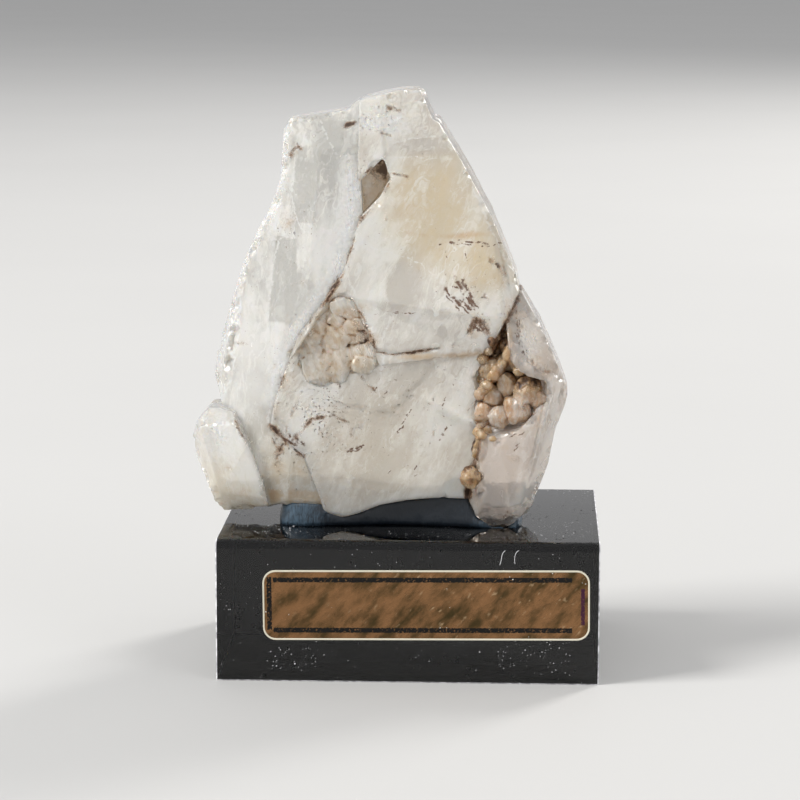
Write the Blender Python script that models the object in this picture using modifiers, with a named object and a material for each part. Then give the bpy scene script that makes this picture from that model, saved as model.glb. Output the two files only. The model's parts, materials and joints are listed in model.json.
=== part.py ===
"""A selenite specimen on a display block, in metres, +Z up, seen from the front along +Y.

The specimen is a cluster of intergrown gypsum crystals: two broad blades side by side, a rounded
prism on the right, a stubby prism at the lower left, and small druse crystals in the pocket between
the right-hand prism and the main blade. It stands on a pad of mounting putty on an acrylic block
with a foil label. The origin is the centre of the block's underside.
"""

import math
import random

import bmesh
import bpy
from mathutils import Matrix, Vector

MM = 0.001

# Display block: a 2 x 1.5 x 0.75 inch cut of acrylic.
BLOCK_WIDTH = 50.8
BLOCK_DEPTH = 38.1
BLOCK_HEIGHT = 19.05
BLOCK_NOSE_RADIUS = 1.2
BLOCK_EDGE_BREAK = 0.15

# Foil label, stuck to the block's front face.
LABEL_WIDTH = 43.2
LABEL_HEIGHT = 9.4
LABEL_THICKNESS = 0.25
LABEL_CORNER_RADIUS = 1.7
LABEL_CENTRE_X = 2.5
LABEL_CENTRE_Z = 10.6
LABEL_TILT_DEG = 0.6
GLUE_LINE = 0.1

# Clearance that neighbouring solids keep.
GAP = 0.3

# Lengthwise a cutter passes through this y, well clear of every crystal.
CUTTER_REACH = 30.0

# The lowest crystal tip stands this high.
TIP_Z = BLOCK_HEIGHT + GAP

# Front and back (y) of each crystal before it is cleaved, and of the steps on the main blade. The
# broad cleavage faces look to the front and to the back.
MAIN_BLADE_Y = (-9.4, 6.2)
LEFT_BLADE_Y = (-8.6, 4.8)
RIGHT_PRISM_Y = (-13.0, 3.6)
LOWER_LEFT_PRISM_Y = (-9.8, 2.2)
LOWER_SLAB_FRONT_Y = -8.7
HOLLOW_FLOOR_Y = -7.7
PIT_FLOOR_Y = -5.4
BACK_STEP_Y = 5.1

# Mounting putty: half sizes, height, and how far its middle lies from the block's centre. Its waist
# is narrowed and its top is drawn in by these shares, and its ends droop by END_DROOP.
PUTTY_HALF_X = 16.6
PUTTY_HALF_Y = 6.6
PUTTY_HEIGHT = 7.0
PUTTY_CENTRE = (-1.4, -2.2)
PUTTY_WAIST = 0.22
PUTTY_TAPER_X = 0.08
PUTTY_TAPER_Y = 0.14
PUTTY_END_DROOP = 0.9
PUTTY_SINK = 0.6

# The seam along which the two blades meet, from the top ridge down to the foot, as (x, z).
BLADE_SEAM = [
    (-6.8, 76.2),
    (-7.0, 68.3),
    (-6.6, 61.2),
    (-8.9, 53.6),
    (-11.5, 49.6),
    (-15.0, 44.8),
    (-16.6, 40.7),
    (-18.2, 36.0),
    (-18.8, 32.7),
    (-16.5, 30.2),
    (-14.5, 28.6),
    (-12.6, 24.1),
    (-11.2, 19.9),
]

# The seam between the main blade and the right-hand prism, from the shoulder down.
PRISM_SEAM = [
    (14.3, 51.0),
    (11.4, 44.3),
    (9.8, 40.0),
    (9.3, 31.5),
    (8.7, 26.6),
    (7.9, 23.2),
]

# The seam between the left blade and the lower-left prism, from its shoulder down.
STUB_SEAM = [
    (-26.9, 34.6),
    (-23.9, 33.9),
    (-21.9, 30.1),
    (-20.1, 25.3),
    (-19.2, 21.6),
]

MAIN_BLADE_RIGHT_EDGE = [
    (-3.7, 77.0),
    (0.2, 77.7),
    (1.1, 77.3),
    (2.6, 73.8),
    (3.4, 73.4),
    (6.4, 68.4),
    (10.4, 61.1),
    (13.7, 53.2),
]
MAIN_BLADE_FOOT = [
    (3.9, 23.3),
    (0.0, 23.0),
    (-4.2, 22.2),
    (-7.2, 21.0),
]
LEFT_BLADE_FOOT = [
    (-13.8, 21.1),
    (-16.8, 21.9),
]
LEFT_BLADE_EDGE = [
    (-27.4, 37.7),
    (-26.9, 40.9),
    (-24.2, 49.4),
    (-22.5, 54.5),
    (-20.3, 59.1),
    (-18.8, 61.8),
    (-17.4, 65.6),
    (-17.1, 69.8),
    (-16.9, 72.6),
    (-16.2, 73.5),
    (-8.7, 74.7),
]
PRISM_OUTER_EDGE = [
    (16.9, 46.8),
    (19.3, 41.6),
    (20.7, 38.3),
    (20.7, 36.8),
    (19.1, 32.7),
    (18.2, 28.2),
    (15.7, 21.6),
    (13.2, TIP_Z + 0.3),
    (11.4, TIP_Z),
    (9.6, 20.1),
    (8.3, 21.8),
]
STUB_OUTER_EDGE = [
    (-20.9, 21.4),
    (-22.6, 21.0),
    (-25.4, 20.9),
    (-26.7, 23.0),
    (-28.3, 26.3),
    (-29.1, 28.8),
    (-29.4, 30.7),
    (-28.9, 32.6),
    (-28.0, 33.6),
]

# Recesses in the main blade, as (x, z) outlines.
LOWER_SLAB_STEP = [
    (-12.4, 47.6),
    (-9.6, 50.6),
    (-7.6, 50.4),
    (-4.0, 41.3),
    (8.4, 43.0),
    (14.0, 44.0),
    (14.0, 15.0),
    (-24.0, 15.0),
    (-24.0, 40.0),
    (-17.5, 40.0),
]
ETCHED_HOLLOW = [
    (-11.9, 48.4),
    (-7.5, 49.2),
    (-4.4, 42.0),
    (-6.5, 40.4),
    (-13.0, 38.6),
    (-15.5, 41.0),
]
BACK_STEP = [
    (-20.0, 36.0),
    (-3.0, 33.0),
    (4.0, 41.5),
    (20.0, 44.0),
    (20.0, 15.0),
    (-20.0, 15.0),
]
DIAMOND_PIT = [
    (-3.6, 69.2),
    (-2.6, 66.2),
    (-3.9, 63.6),
    (-6.9, 60.4),
    (-7.6, 61.8),
    (-7.3, 65.6),
]

# The pocket between the blade and the right-hand prism: its mouth, and its floor, which is deepest
# by the seam and rises to the lower right.
DRUSE_POCKET = [
    (12.9, 48.2),
    (13.4, 43.0),
    (14.8, 40.8),
    (18.0, 40.0),
    (18.3, 37.8),
    (17.0, 35.2),
    (14.6, 32.9),
    (11.3, 31.9),
    (8.6, 32.4),
    (8.4, 40.0),
    (10.6, 44.0),
]
POCKET_FLOOR_POINT = (11.0, -6.6, 42.0)
POCKET_FLOOR_SLOPE_X = -0.35
POCKET_FLOOR_SLOPE_Z = 0.35

# Druse crystals: centre (x, z), half sizes (x, y, z), how far the centre stands off the pocket's
# floor, and spin in degrees.
DRUSE = [
    ((12.7, 41.6), (0.9, 0.9, 1.1), 0.9, 25),
    ((10.8, 40.4), (1.1, 1.0, 1.3), 0.8, -20),
    ((12.9, 38.9), (0.8, 0.9, 1.2), 1.3, -35),
    ((15.6, 38.4), (1.1, 1.0, 1.3), 0.9, 12),
    ((11.0, 37.3), (0.9, 0.9, 1.1), 1.2, 38),
    ((14.4, 35.6), (1.3, 1.1, 1.5), 0.8, -12),
    ((9.8, 34.9), (0.8, 0.9, 1.0), 1.0, 8),
    ((12.0, 34.4), (0.9, 0.9, 1.0), 1.0, -28),
    ((17.0, 36.9), (0.6, 0.7, 0.8), 0.6, 30),
    ((12.9, 44.6), (0.5, 0.7, 0.9), 1.2, 15),
    ((9.4, 30.2), (0.7, 0.9, 1.5), 0.4, 14),
    ((8.1, 26.4), (0.7, 0.8, 1.1), 0.2, 24),
]
DRUSE_CLEAVAGES = 7
DRUSE_CORNER_REACH = 1.12


def clear_scene():
    for obj in list(bpy.data.objects):
        bpy.data.objects.remove(obj, do_unlink=True)


def new_collection(name):
    collection = bpy.data.collections.new(name)
    bpy.context.scene.collection.children.link(collection)
    return collection


def finish_material(name, colour, roughness, metallic=0.0, alpha=1.0):
    material = bpy.data.materials.new(name)
    material.use_nodes = True
    shader = material.node_tree.nodes["Principled BSDF"]
    shader.inputs["Base Color"].default_value = (*colour, 1.0)
    shader.inputs["Roughness"].default_value = roughness
    shader.inputs["Metallic"].default_value = metallic
    shader.inputs["Alpha"].default_value = alpha
    return material


def link(obj, collection, material=None):
    for owner in list(obj.users_collection):
        owner.objects.unlink(obj)
    collection.objects.link(obj)
    if material:
        obj.data.materials.clear()
        obj.data.materials.append(material)


def mark_as_cutter(obj, cutters):
    link(obj, cutters)
    obj.hide_render = True
    obj.display_type = "WIRE"


def plate(name, corners, front, back, collection, material=None):
    """A straight-sided solid: an (x, z) outline in mm, reaching from y = front to y = back."""
    curve = bpy.data.curves.new(name, "CURVE")
    curve.dimensions = "2D"
    curve.fill_mode = "BOTH"
    curve.extrude = (back - front) / 2 * MM
    spline = curve.splines.new("POLY")
    spline.points.add(len(corners) - 1)
    for point, (x, z) in zip(spline.points, corners):
        point.co = (x * MM, z * MM, 0.0, 1.0)
    spline.use_cyclic_u = True
    outline = bpy.data.objects.new(name + "_outline", curve)
    bpy.context.scene.collection.objects.link(outline)
    outline.rotation_euler.x = math.radians(90)
    outline.location.y = (front + back) / 2 * MM
    bpy.context.view_layer.update()
    evaluated = outline.evaluated_get(bpy.context.evaluated_depsgraph_get())
    mesh = bpy.data.meshes.new_from_object(evaluated)
    mesh.transform(outline.matrix_world)
    bpy.data.objects.remove(outline, do_unlink=True)
    bm = bmesh.new()
    bm.from_mesh(mesh)
    bmesh.ops.remove_doubles(bm, verts=bm.verts, dist=0.01 * MM)
    bmesh.ops.dissolve_limit(bm, angle_limit=math.radians(1), verts=bm.verts, edges=bm.edges)
    bmesh.ops.recalc_face_normals(bm, faces=bm.faces)
    bm.to_mesh(mesh)
    bm.free()
    obj = bpy.data.objects.new(name, mesh)
    link(obj, collection, material)
    return obj


def cleave(obj, point, normal):
    """Splits the crystal along a plane in mm and throws away the side that the normal points to."""
    bm = bmesh.new()
    bm.from_mesh(obj.data)
    cut = bmesh.ops.bisect_plane(
        bm,
        geom=bm.verts[:] + bm.edges[:] + bm.faces[:],
        dist=0.001 * MM,
        plane_co=Vector(point) * MM,
        plane_no=Vector(normal).normalized(),
        clear_outer=True,
    )
    edges = [item for item in cut["geom_cut"] if isinstance(item, bmesh.types.BMEdge)]
    bmesh.ops.holes_fill(bm, edges=edges, sides=0)
    bmesh.ops.recalc_face_normals(bm, faces=bm.faces)
    bm.to_mesh(obj.data)
    bm.free()


def apply_modifiers(obj):
    bpy.context.view_layer.update()
    evaluated = obj.evaluated_get(bpy.context.evaluated_depsgraph_get())
    mesh = bpy.data.meshes.new_from_object(evaluated)
    obj.modifiers.clear()
    obj.data = mesh


def cut_with(obj, cutter):
    boolean = obj.modifiers.new("cut_" + cutter.name, "BOOLEAN")
    boolean.operation = "DIFFERENCE"
    boolean.solver = "EXACT"
    boolean.object = cutter
    apply_modifiers(obj)


def grown_copy(obj, by, cutters):
    """A cutter that is obj with every face moved out by that many mm, so that a cut leaves a gap."""
    copy = bpy.data.objects.new(obj.name + "_clearance", obj.data.copy())
    bm = bmesh.new()
    bm.from_mesh(copy.data)
    bmesh.ops.triangulate(bm, faces=bm.faces)
    bm.to_mesh(copy.data)
    bm.free()
    mark_as_cutter(copy, cutters)
    solidify = copy.modifiers.new("clearance", "SOLIDIFY")
    solidify.thickness = by * MM
    solidify.offset = 1.0
    solidify.use_even_offset = True
    solidify.use_rim = False
    apply_modifiers(copy)
    bm = bmesh.new()
    bm.from_mesh(copy.data)
    bm.faces.ensure_lookup_table()
    inner = [face for face in bm.faces if face.index >= len(bm.faces) // 2]
    bmesh.ops.delete(bm, geom=inner, context="FACES")
    bmesh.ops.recalc_face_normals(bm, faces=bm.faces)
    bm.to_mesh(copy.data)
    bm.free()
    return copy


def shifted(corners, dx):
    return [(x + dx, z) for x, z in corners]


def build_block(collection, material):
    bpy.ops.mesh.primitive_cube_add(size=1.0, location=(0, 0, BLOCK_HEIGHT / 2 * MM))
    block = bpy.context.object
    block.name = "acrylic_block"
    block.scale = (BLOCK_WIDTH * MM, BLOCK_DEPTH * MM, BLOCK_HEIGHT * MM)
    bpy.ops.object.transform_apply(location=True, rotation=True, scale=True)
    link(block, collection, material)
    bm = bmesh.new()
    bm.from_mesh(block.data)
    front = -BLOCK_DEPTH / 2 * MM
    top = BLOCK_HEIGHT * MM
    nose = [
        edge
        for edge in bm.edges
        if all(abs(v.co.y - front) < MM / 10 and abs(v.co.z - top) < MM / 10 for v in edge.verts)
    ]
    bmesh.ops.bevel(
        bm,
        geom=nose,
        offset=BLOCK_NOSE_RADIUS * MM,
        segments=8,
        profile=0.5,
        affect="EDGES",
    )
    bm.to_mesh(block.data)
    bm.free()
    edge_break = block.modifiers.new("edge_break", "BEVEL")
    edge_break.width = BLOCK_EDGE_BREAK * MM
    edge_break.segments = 1
    edge_break.limit_method = "ANGLE"
    edge_break.angle_limit = math.radians(40)
    block.data.shade_smooth()
    block.data.set_sharp_from_angle(angle=math.radians(30))
    return block


def rounded_rectangle(width, height, radius, steps=5):
    corners = []
    for quarter, (sx, sz) in enumerate([(1, 1), (-1, 1), (-1, -1), (1, -1)]):
        centre_x = sx * (width / 2 - radius)
        centre_z = sz * (height / 2 - radius)
        for step in range(steps + 1):
            angle = math.radians(90) * (quarter + step / steps)
            corners.append((centre_x + radius * math.cos(angle), centre_z + radius * math.sin(angle)))
    return corners


def build_label(collection, material):
    tilt = math.radians(LABEL_TILT_DEG)
    corners = [
        (
            LABEL_CENTRE_X + x * math.cos(tilt) - z * math.sin(tilt),
            LABEL_CENTRE_Z + x * math.sin(tilt) + z * math.cos(tilt),
        )
        for x, z in rounded_rectangle(LABEL_WIDTH, LABEL_HEIGHT, LABEL_CORNER_RADIUS)
    ]
    back = -BLOCK_DEPTH / 2 - GLUE_LINE
    return plate("foil_label", corners, back - LABEL_THICKNESS, back, collection, material)


def build_main_blade(collection, cutters, material):
    """The largest crystal: an upper plate that stands proud of the slab below it.

    Each cleavage, here and on the other crystals, is a point in mm and the way its face looks.
    """
    seam = shifted(BLADE_SEAM, GAP / 2)
    outline = MAIN_BLADE_RIGHT_EDGE + shifted(PRISM_SEAM, -GAP / 2) + MAIN_BLADE_FOOT + seam[::-1]
    blade = plate("main_blade", outline, *MAIN_BLADE_Y, collection, material)
    step = plate("lower_slab_step", LOWER_SLAB_STEP, -CUTTER_REACH, LOWER_SLAB_FRONT_Y, cutters)
    mark_as_cutter(step, cutters)
    hollow = plate("etched_hollow", ETCHED_HOLLOW, -CUTTER_REACH, HOLLOW_FLOOR_Y, cutters)
    mark_as_cutter(hollow, cutters)
    pit = plate("diamond_pit", DIAMOND_PIT, -CUTTER_REACH, PIT_FLOOR_Y, cutters)
    mark_as_cutter(pit, cutters)
    back_step = plate("back_step", BACK_STEP, BACK_STEP_Y, CUTTER_REACH, cutters)
    mark_as_cutter(back_step, cutters)
    for cutter in (step, hollow, pit, back_step):
        cut_with(blade, cutter)
    cleavages = [
        ((3.0, -9.2, 76.0), (0.10, -0.75, 0.62)),
        ((0.0, 5.5, 66.0), (0.05, 0.93, 0.36)),
        ((9.0, 5.8, 52.0), (0.55, 0.83, 0.10)),
        ((-4.0, 6.1, 50.0), (-0.16, 0.98, 0.05)),
        ((4.0, 5.0, 33.0), (0.14, 0.97, -0.18)),
        ((13.6, -8.2, 53.0), (0.80, -0.58, 0.12)),
        ((2.0, 4.6, 24.0), (0.0, 0.66, -0.75)),
        ((-14.0, 6.0, 36.0), (-0.42, 0.90, 0.05)),
        ((-9.0, -8.6, 20.6), (-0.15, -0.55, -0.82)),
    ]
    for point, normal in cleavages:
        cleave(blade, point, normal)
    return blade


def build_left_blade(collection, material):
    """The blade on the left, whose broad face falls away from the seam to a chipped outer edge."""
    seam = shifted(BLADE_SEAM, -GAP / 2)
    outline = seam + LEFT_BLADE_FOOT + shifted(STUB_SEAM[::-1], GAP / 2) + LEFT_BLADE_EDGE
    blade = plate("left_blade", outline, *LEFT_BLADE_Y, collection, material)
    cleavages = [
        ((-14.5, -8.3, 52.0), (-0.42, -0.90, 0.04)),
        ((-22.6, -4.6, 54.0), (-0.90, -0.42, 0.14)),
        ((-12.0, -8.2, 70.5), (-0.10, -0.88, 0.46)),
        ((-9.0, -6.3, 76.0), (0.0, -0.60, 0.80)),
        ((-21.0, 3.6, 56.0), (-0.72, 0.68, 0.15)),
        ((-12.0, 4.4, 66.0), (-0.05, 0.92, 0.40)),
        ((-26.8, -2.0, 38.5), (-0.96, -0.10, -0.26)),
        ((-16.0, 3.6, 23.5), (-0.10, 0.55, -0.83)),
        ((-15.0, -7.9, 21.8), (-0.05, -0.62, -0.78)),
    ]
    for point, normal in cleavages:
        cleave(blade, point, normal)
    return blade


def build_right_prism(collection, material):
    """The rounded prism on the right, which bears on the block with its tip."""
    outline = PRISM_OUTER_EDGE + shifted(PRISM_SEAM[::-1], GAP / 2)
    prism = plate("right_prism", outline, *RIGHT_PRISM_Y, collection, material)
    cleavages = [
        ((12.5, -12.9, 28.0), (-0.30, -0.95, -0.05)),
        ((17.2, -11.6, 30.0), (0.62, -0.78, -0.06)),
        ((17.6, -11.0, 43.0), (0.46, -0.72, 0.52)),
        ((12.0, -12.4, 22.6), (-0.12, -0.66, -0.74)),
        ((15.4, -11.4, 22.4), (0.48, -0.58, -0.66)),
        ((13.6, 2.2, 46.0), (0.20, 0.84, 0.50)),
        ((18.2, 1.6, 33.0), (0.80, 0.60, 0.0)),
        ((12.0, 1.2, 22.5), (0.05, 0.56, -0.83)),
        ((9.2, -11.0, 25.0), (-0.86, -0.50, -0.10)),
    ]
    for point, normal in cleavages:
        cleave(prism, point, normal)
    return prism


def build_lower_left_prism(collection, material):
    """The stubby prism that juts out at the lower left."""
    outline = STUB_OUTER_EDGE + shifted(STUB_SEAM, -GAP / 2)
    prism = plate("lower_left_prism", outline, *LOWER_LEFT_PRISM_Y, collection, material)
    cleavages = [
        ((-23.2, -9.7, 29.0), (-0.20, -0.97, 0.10)),
        ((-27.4, -8.4, 28.0), (-0.78, -0.60, -0.14)),
        ((-25.0, -8.8, 32.8), (-0.18, -0.66, 0.73)),
        ((-27.0, 1.0, 28.0), (-0.62, 0.78, 0.0)),
        ((-23.0, -9.0, 22.6), (-0.10, -0.74, -0.66)),
        ((-23.0, 1.0, 23.0), (0.0, 0.60, -0.80)),
    ]
    for point, normal in cleavages:
        cleave(prism, point, normal)
    return prism


def pocket_floor(x, z):
    """The y of the pocket's floor, in mm, at a point of its mouth."""
    x0, y0, z0 = POCKET_FLOOR_POINT
    return y0 + POCKET_FLOOR_SLOPE_X * (x - x0) + POCKET_FLOOR_SLOPE_Z * (z - z0)


def build_pocket(cutters):
    pocket = plate("druse_pocket", DRUSE_POCKET, -CUTTER_REACH, 0.0, cutters)
    cleave(pocket, POCKET_FLOOR_POINT, (-POCKET_FLOOR_SLOPE_X, 1.0, -POCKET_FLOOR_SLOPE_Z))
    mark_as_cutter(pocket, cutters)
    return pocket


def build_druse_crystal(number, centre, half, spin, collection, material):
    """A small blocky gypsum crystal with its corners cut back by seeded cleavage planes."""
    bpy.ops.mesh.primitive_cube_add(size=2.0)
    crystal = bpy.context.object
    crystal.name = f"druse_crystal_{number}"
    crystal.data.transform(Matrix.Diagonal((*[side * MM for side in half], 1.0)))
    link(crystal, collection, material)
    chance = random.Random(number)
    reach = DRUSE_CORNER_REACH * sum(half) / 3
    for _ in range(DRUSE_CLEAVAGES):
        normal = Vector([chance.choice((-1, 1)) * chance.uniform(0.35, 1.0) for _ in range(3)])
        normal.normalize()
        cleave(crystal, normal * reach, normal)
    turn = Matrix.Rotation(math.radians(spin), 4, "Y") @ Matrix.Rotation(math.radians(spin / 2), 4, "Z")
    crystal.data.transform(turn)
    crystal.data.transform(Matrix.Translation(Vector(centre) * MM))
    return crystal


def build_putty(collection, feet, material):
    """The pad of putty, squeezed out under the crystals and printed by their feet."""
    bpy.ops.mesh.primitive_cube_add(size=2.0)
    putty = bpy.context.object
    putty.name = "mounting_putty"
    link(putty, collection, material)
    bm = bmesh.new()
    bm.from_mesh(putty.data)
    bmesh.ops.subdivide_edges(bm, edges=bm.edges, cuts=3, use_grid_fill=True)
    for vert in bm.verts:
        along = vert.co.x
        lift = (vert.co.z + 1) / 2
        waist = 1.0 - PUTTY_WAIST * math.cos(math.pi * along)
        vert.co.x = PUTTY_CENTRE[0] + along * PUTTY_HALF_X * (1.0 - PUTTY_TAPER_X * lift)
        vert.co.y = PUTTY_CENTRE[1] + vert.co.y * PUTTY_HALF_Y * waist * (1.0 - PUTTY_TAPER_Y * lift)
        vert.co.z = BLOCK_HEIGHT - PUTTY_SINK + lift * (PUTTY_HEIGHT - PUTTY_END_DROOP * abs(along))
        vert.co *= MM
    bm.to_mesh(putty.data)
    bm.free()
    soften = putty.modifiers.new("soften", "SUBSURF")
    soften.levels = 2
    soften.render_levels = 2
    apply_modifiers(putty)
    cleave(putty, (0, 0, BLOCK_HEIGHT + GAP), (0, 0, -1))
    for foot in feet:
        cut_with(putty, foot)
    return putty


def main():
    clear_scene()
    specimen = new_collection("selenite_specimen")
    cutters = new_collection("cutters")
    acrylic = finish_material("acrylic", (0.03, 0.03, 0.035), 0.05, alpha=0.6)
    foil = finish_material("foil", (0.42, 0.27, 0.13), 0.4, metallic=0.8)
    putty_finish = finish_material("putty", (0.10, 0.17, 0.23), 0.6)
    selenite = finish_material("selenite", (0.82, 0.79, 0.74), 0.3)
    iron_stained = finish_material("iron_stained_selenite", (0.45, 0.25, 0.12), 0.3)
    build_block(specimen, acrylic)
    build_label(specimen, foil)
    main_blade = build_main_blade(specimen, cutters, selenite)
    right_prism = build_right_prism(specimen, selenite)
    left_blade = build_left_blade(specimen, selenite)
    lower_left_prism = build_lower_left_prism(specimen, selenite)
    feet = [
        grown_copy(crystal, GAP, cutters)
        for crystal in (main_blade, left_blade, right_prism, lower_left_prism)
    ]
    pocket = build_pocket(cutters)
    cut_with(main_blade, pocket)
    cut_with(right_prism, pocket)
    pocket_walls = [main_blade, right_prism]
    for number, ((x, z), half, standoff, spin) in enumerate(DRUSE, 1):
        centre = (x, pocket_floor(x, z) - standoff, z)
        druse = build_druse_crystal(number, centre, half, spin, specimen, iron_stained)
        clearance = grown_copy(druse, GAP, cutters)
        for neighbour in pocket_walls:
            cut_with(neighbour, clearance)
        pocket_walls.append(druse)
    build_putty(specimen, feet, putty_finish)


main()
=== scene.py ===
import json
import math
import random

import bmesh
import bpy
import numpy as np
from mathutils import Matrix, Vector

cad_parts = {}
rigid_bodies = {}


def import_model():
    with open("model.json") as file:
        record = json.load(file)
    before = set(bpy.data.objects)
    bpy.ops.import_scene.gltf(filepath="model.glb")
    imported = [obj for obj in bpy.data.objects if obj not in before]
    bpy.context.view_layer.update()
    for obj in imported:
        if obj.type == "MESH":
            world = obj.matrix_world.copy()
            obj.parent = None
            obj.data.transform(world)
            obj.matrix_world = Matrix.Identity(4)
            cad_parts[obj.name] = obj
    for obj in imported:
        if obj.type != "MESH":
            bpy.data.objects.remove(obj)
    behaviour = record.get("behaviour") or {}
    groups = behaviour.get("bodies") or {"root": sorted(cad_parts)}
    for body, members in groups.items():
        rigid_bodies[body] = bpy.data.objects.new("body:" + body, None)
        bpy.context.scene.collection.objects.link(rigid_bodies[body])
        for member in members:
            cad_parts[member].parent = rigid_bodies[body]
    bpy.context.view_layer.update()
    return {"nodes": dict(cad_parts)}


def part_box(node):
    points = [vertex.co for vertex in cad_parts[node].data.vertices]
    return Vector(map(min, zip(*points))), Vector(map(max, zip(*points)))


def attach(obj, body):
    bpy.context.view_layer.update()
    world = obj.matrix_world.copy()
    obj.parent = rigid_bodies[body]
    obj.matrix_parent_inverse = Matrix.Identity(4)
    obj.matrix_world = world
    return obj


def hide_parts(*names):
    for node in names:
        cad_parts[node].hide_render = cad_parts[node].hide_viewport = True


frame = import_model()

MM = 0.001


# ---------------------------------------------------------------------------------------------
# Studio. A matt pale table and soft light: a big softbox high on the left, a strip behind on the
# right that rims the crystal, and a weak fill. The camera looks slightly down through a long lens.
CAMERA_PLACE = (0.0153, -0.4075, 0.1007)
CAMERA_YAW, CAMERA_PITCH, CAMERA_ROLL = 2.404, 9.163, 0.148
LENS_MM = 135.6
TABLE_SIZE = 12.0
TABLE_COLOUR = (0.50, 0.50, 0.495, 1.0)
SOFTBOXES = {
    "key_softbox": ((-1.20, -0.50, 1.15), (0.60, 0.60), 30.0, (1.0, 0.985, 0.96)),
    "rim_strip": ((0.75, 1.00, 0.75), (0.30, 1.00), 13.0, (1.0, 0.975, 0.94)),
    "fill_softbox": ((1.20, -1.10, 0.70), (0.70, 0.70), 4.0, (0.96, 0.98, 1.0)),
}
LIGHT_AIM = Vector((0.0, 0.0, 0.04))


def shader_node(tree, kind, inputs=(), **settings):
    """Adds one shader node; each input is a plain value or another node's output to link."""
    made = tree.nodes.new("ShaderNode" + kind)
    for name, value in settings.items():
        setattr(made, name, value)
    for socket, value in dict(inputs).items():
        if isinstance(value, bpy.types.NodeSocket):
            tree.links.new(value, made.inputs[socket])
        else:
            made.inputs[socket].default_value = value
    return made


def feed(shader, socket, value):
    """Links a value that varies over the surface to one of the shader's sockets."""
    shader.id_data.links.new(value, shader.inputs[socket])


def place_on(tree):
    """The place on the piece, from the origin of the object."""
    return shader_node(tree, "TexCoord").outputs["Object"]


def new_material(name):
    """A node material with its Principled shader at hand."""
    material = bpy.data.materials.new(name)
    material.use_nodes = True
    return material, material.node_tree, material.node_tree.nodes["Principled BSDF"]


camera = bpy.data.objects.new("camera", bpy.data.cameras.new("camera"))
bpy.context.scene.collection.objects.link(camera)
camera.data.lens = LENS_MM
camera.location = CAMERA_PLACE
camera.rotation_euler = (
    Matrix.Rotation(math.radians(CAMERA_YAW), 4, "Z")
    @ Matrix.Rotation(math.radians(90 - CAMERA_PITCH), 4, "X")
    @ Matrix.Rotation(math.radians(CAMERA_ROLL), 4, "Z")
).to_euler()
bpy.context.scene.camera = camera

for name, (place, size, power, colour) in SOFTBOXES.items():
    softbox = bpy.data.objects.new(name, bpy.data.lights.new(name, "AREA"))
    bpy.context.scene.collection.objects.link(softbox)
    softbox.data.shape = "RECTANGLE"
    softbox.data.size, softbox.data.size_y = size
    softbox.data.energy = power
    softbox.data.color = colour
    softbox.location = place
    softbox.rotation_euler = (LIGHT_AIM - Vector(place)).to_track_quat("-Z", "Y").to_euler()

world = bpy.data.worlds.new("studio_walls")
world.use_nodes = True
world.node_tree.nodes["Background"].inputs["Color"].default_value = (0.80, 0.80, 0.81, 1.0)
world.node_tree.nodes["Background"].inputs["Strength"].default_value = 0.72
bpy.context.scene.world = world
bpy.context.scene.view_settings.view_transform = "Standard"

bpy.ops.mesh.primitive_plane_add(size=TABLE_SIZE)
table = bpy.context.object
table.name = "table"
table_matt, tree, shader = new_material("table_matt")
place = place_on(tree)
mottle = shader_node(tree, "TexNoise", {"Vector": place, "Scale": 9.0, "Detail": 3.0})
tint = shader_node(tree, "MixRGB", {"Fac": mottle.outputs["Fac"]})
tint.inputs["Color1"].default_value = TABLE_COLOUR
tint.inputs["Color2"].default_value = [channel * 1.05 for channel in TABLE_COLOUR]
feed(shader, "Base Color", tint.outputs["Color"])
shader.inputs["Roughness"].default_value = 0.75
table.data.materials.append(table_matt)


# ---------------------------------------------------------------------------------------------
# Acrylic block. Dark, see-through cast acrylic, sawn to a 2 x 1.5 x 0.75 inch block and polished;
# the front top edge is rounded over, and the other edges are left as chalky, scratched saw edges.
ACRYLIC_IOR = 1.49
SMOKE_COLOUR = (0.35, 0.36, 0.40, 1.0)
SMOKE_DENSITY = 330.0
SAWN_EDGE_WIDTH = 0.30


def take_up(piece):
    """Makes a piece the one that the next operators work on."""
    bpy.ops.object.select_all(action="DESELECT")
    piece.select_set(True)
    bpy.context.view_layer.objects.active = piece


def edit_whole():
    """Opens the active piece in edit mode with all of it selected."""
    bpy.ops.object.mode_set(mode="EDIT")
    bpy.ops.mesh.select_all(action="SELECT")


def skin_of(node, name):
    """A new object with a solid's own shape, its loose triangles merged into one closed skin."""
    piece = bpy.data.objects.new(name, frame["nodes"][node].data.copy())
    bpy.context.scene.collection.objects.link(piece)
    take_up(piece)
    piece.data.materials.clear()
    edit_whole()
    bpy.ops.mesh.remove_doubles(threshold=0.002 * MM)
    bpy.ops.object.mode_set(mode="OBJECT")
    return piece


def settle(piece, node):
    """Fixes a finished piece to the object, in place of its solid."""
    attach(piece, "root")
    if node:
        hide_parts(node)


def group_tree(name, inputs, outputs):
    """An empty shader node group with named inputs (and their values) and named outputs."""
    group = bpy.data.node_groups.new(name, "ShaderNodeTree")
    for title, value in inputs.items():
        kind = "NodeSocketVector" if isinstance(value, tuple) else "NodeSocketFloat"
        if isinstance(value, tuple) and len(value) == 4:
            kind = "NodeSocketColor"
        group.interface.new_socket(title, in_out="INPUT", socket_type=kind).default_value = value
    for title, kind in outputs.items():
        group.interface.new_socket(title, in_out="OUTPUT", socket_type="NodeSocket" + kind)
    return group, group.nodes.new("NodeGroupInput").outputs, group.nodes.new("NodeGroupOutput").inputs


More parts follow.
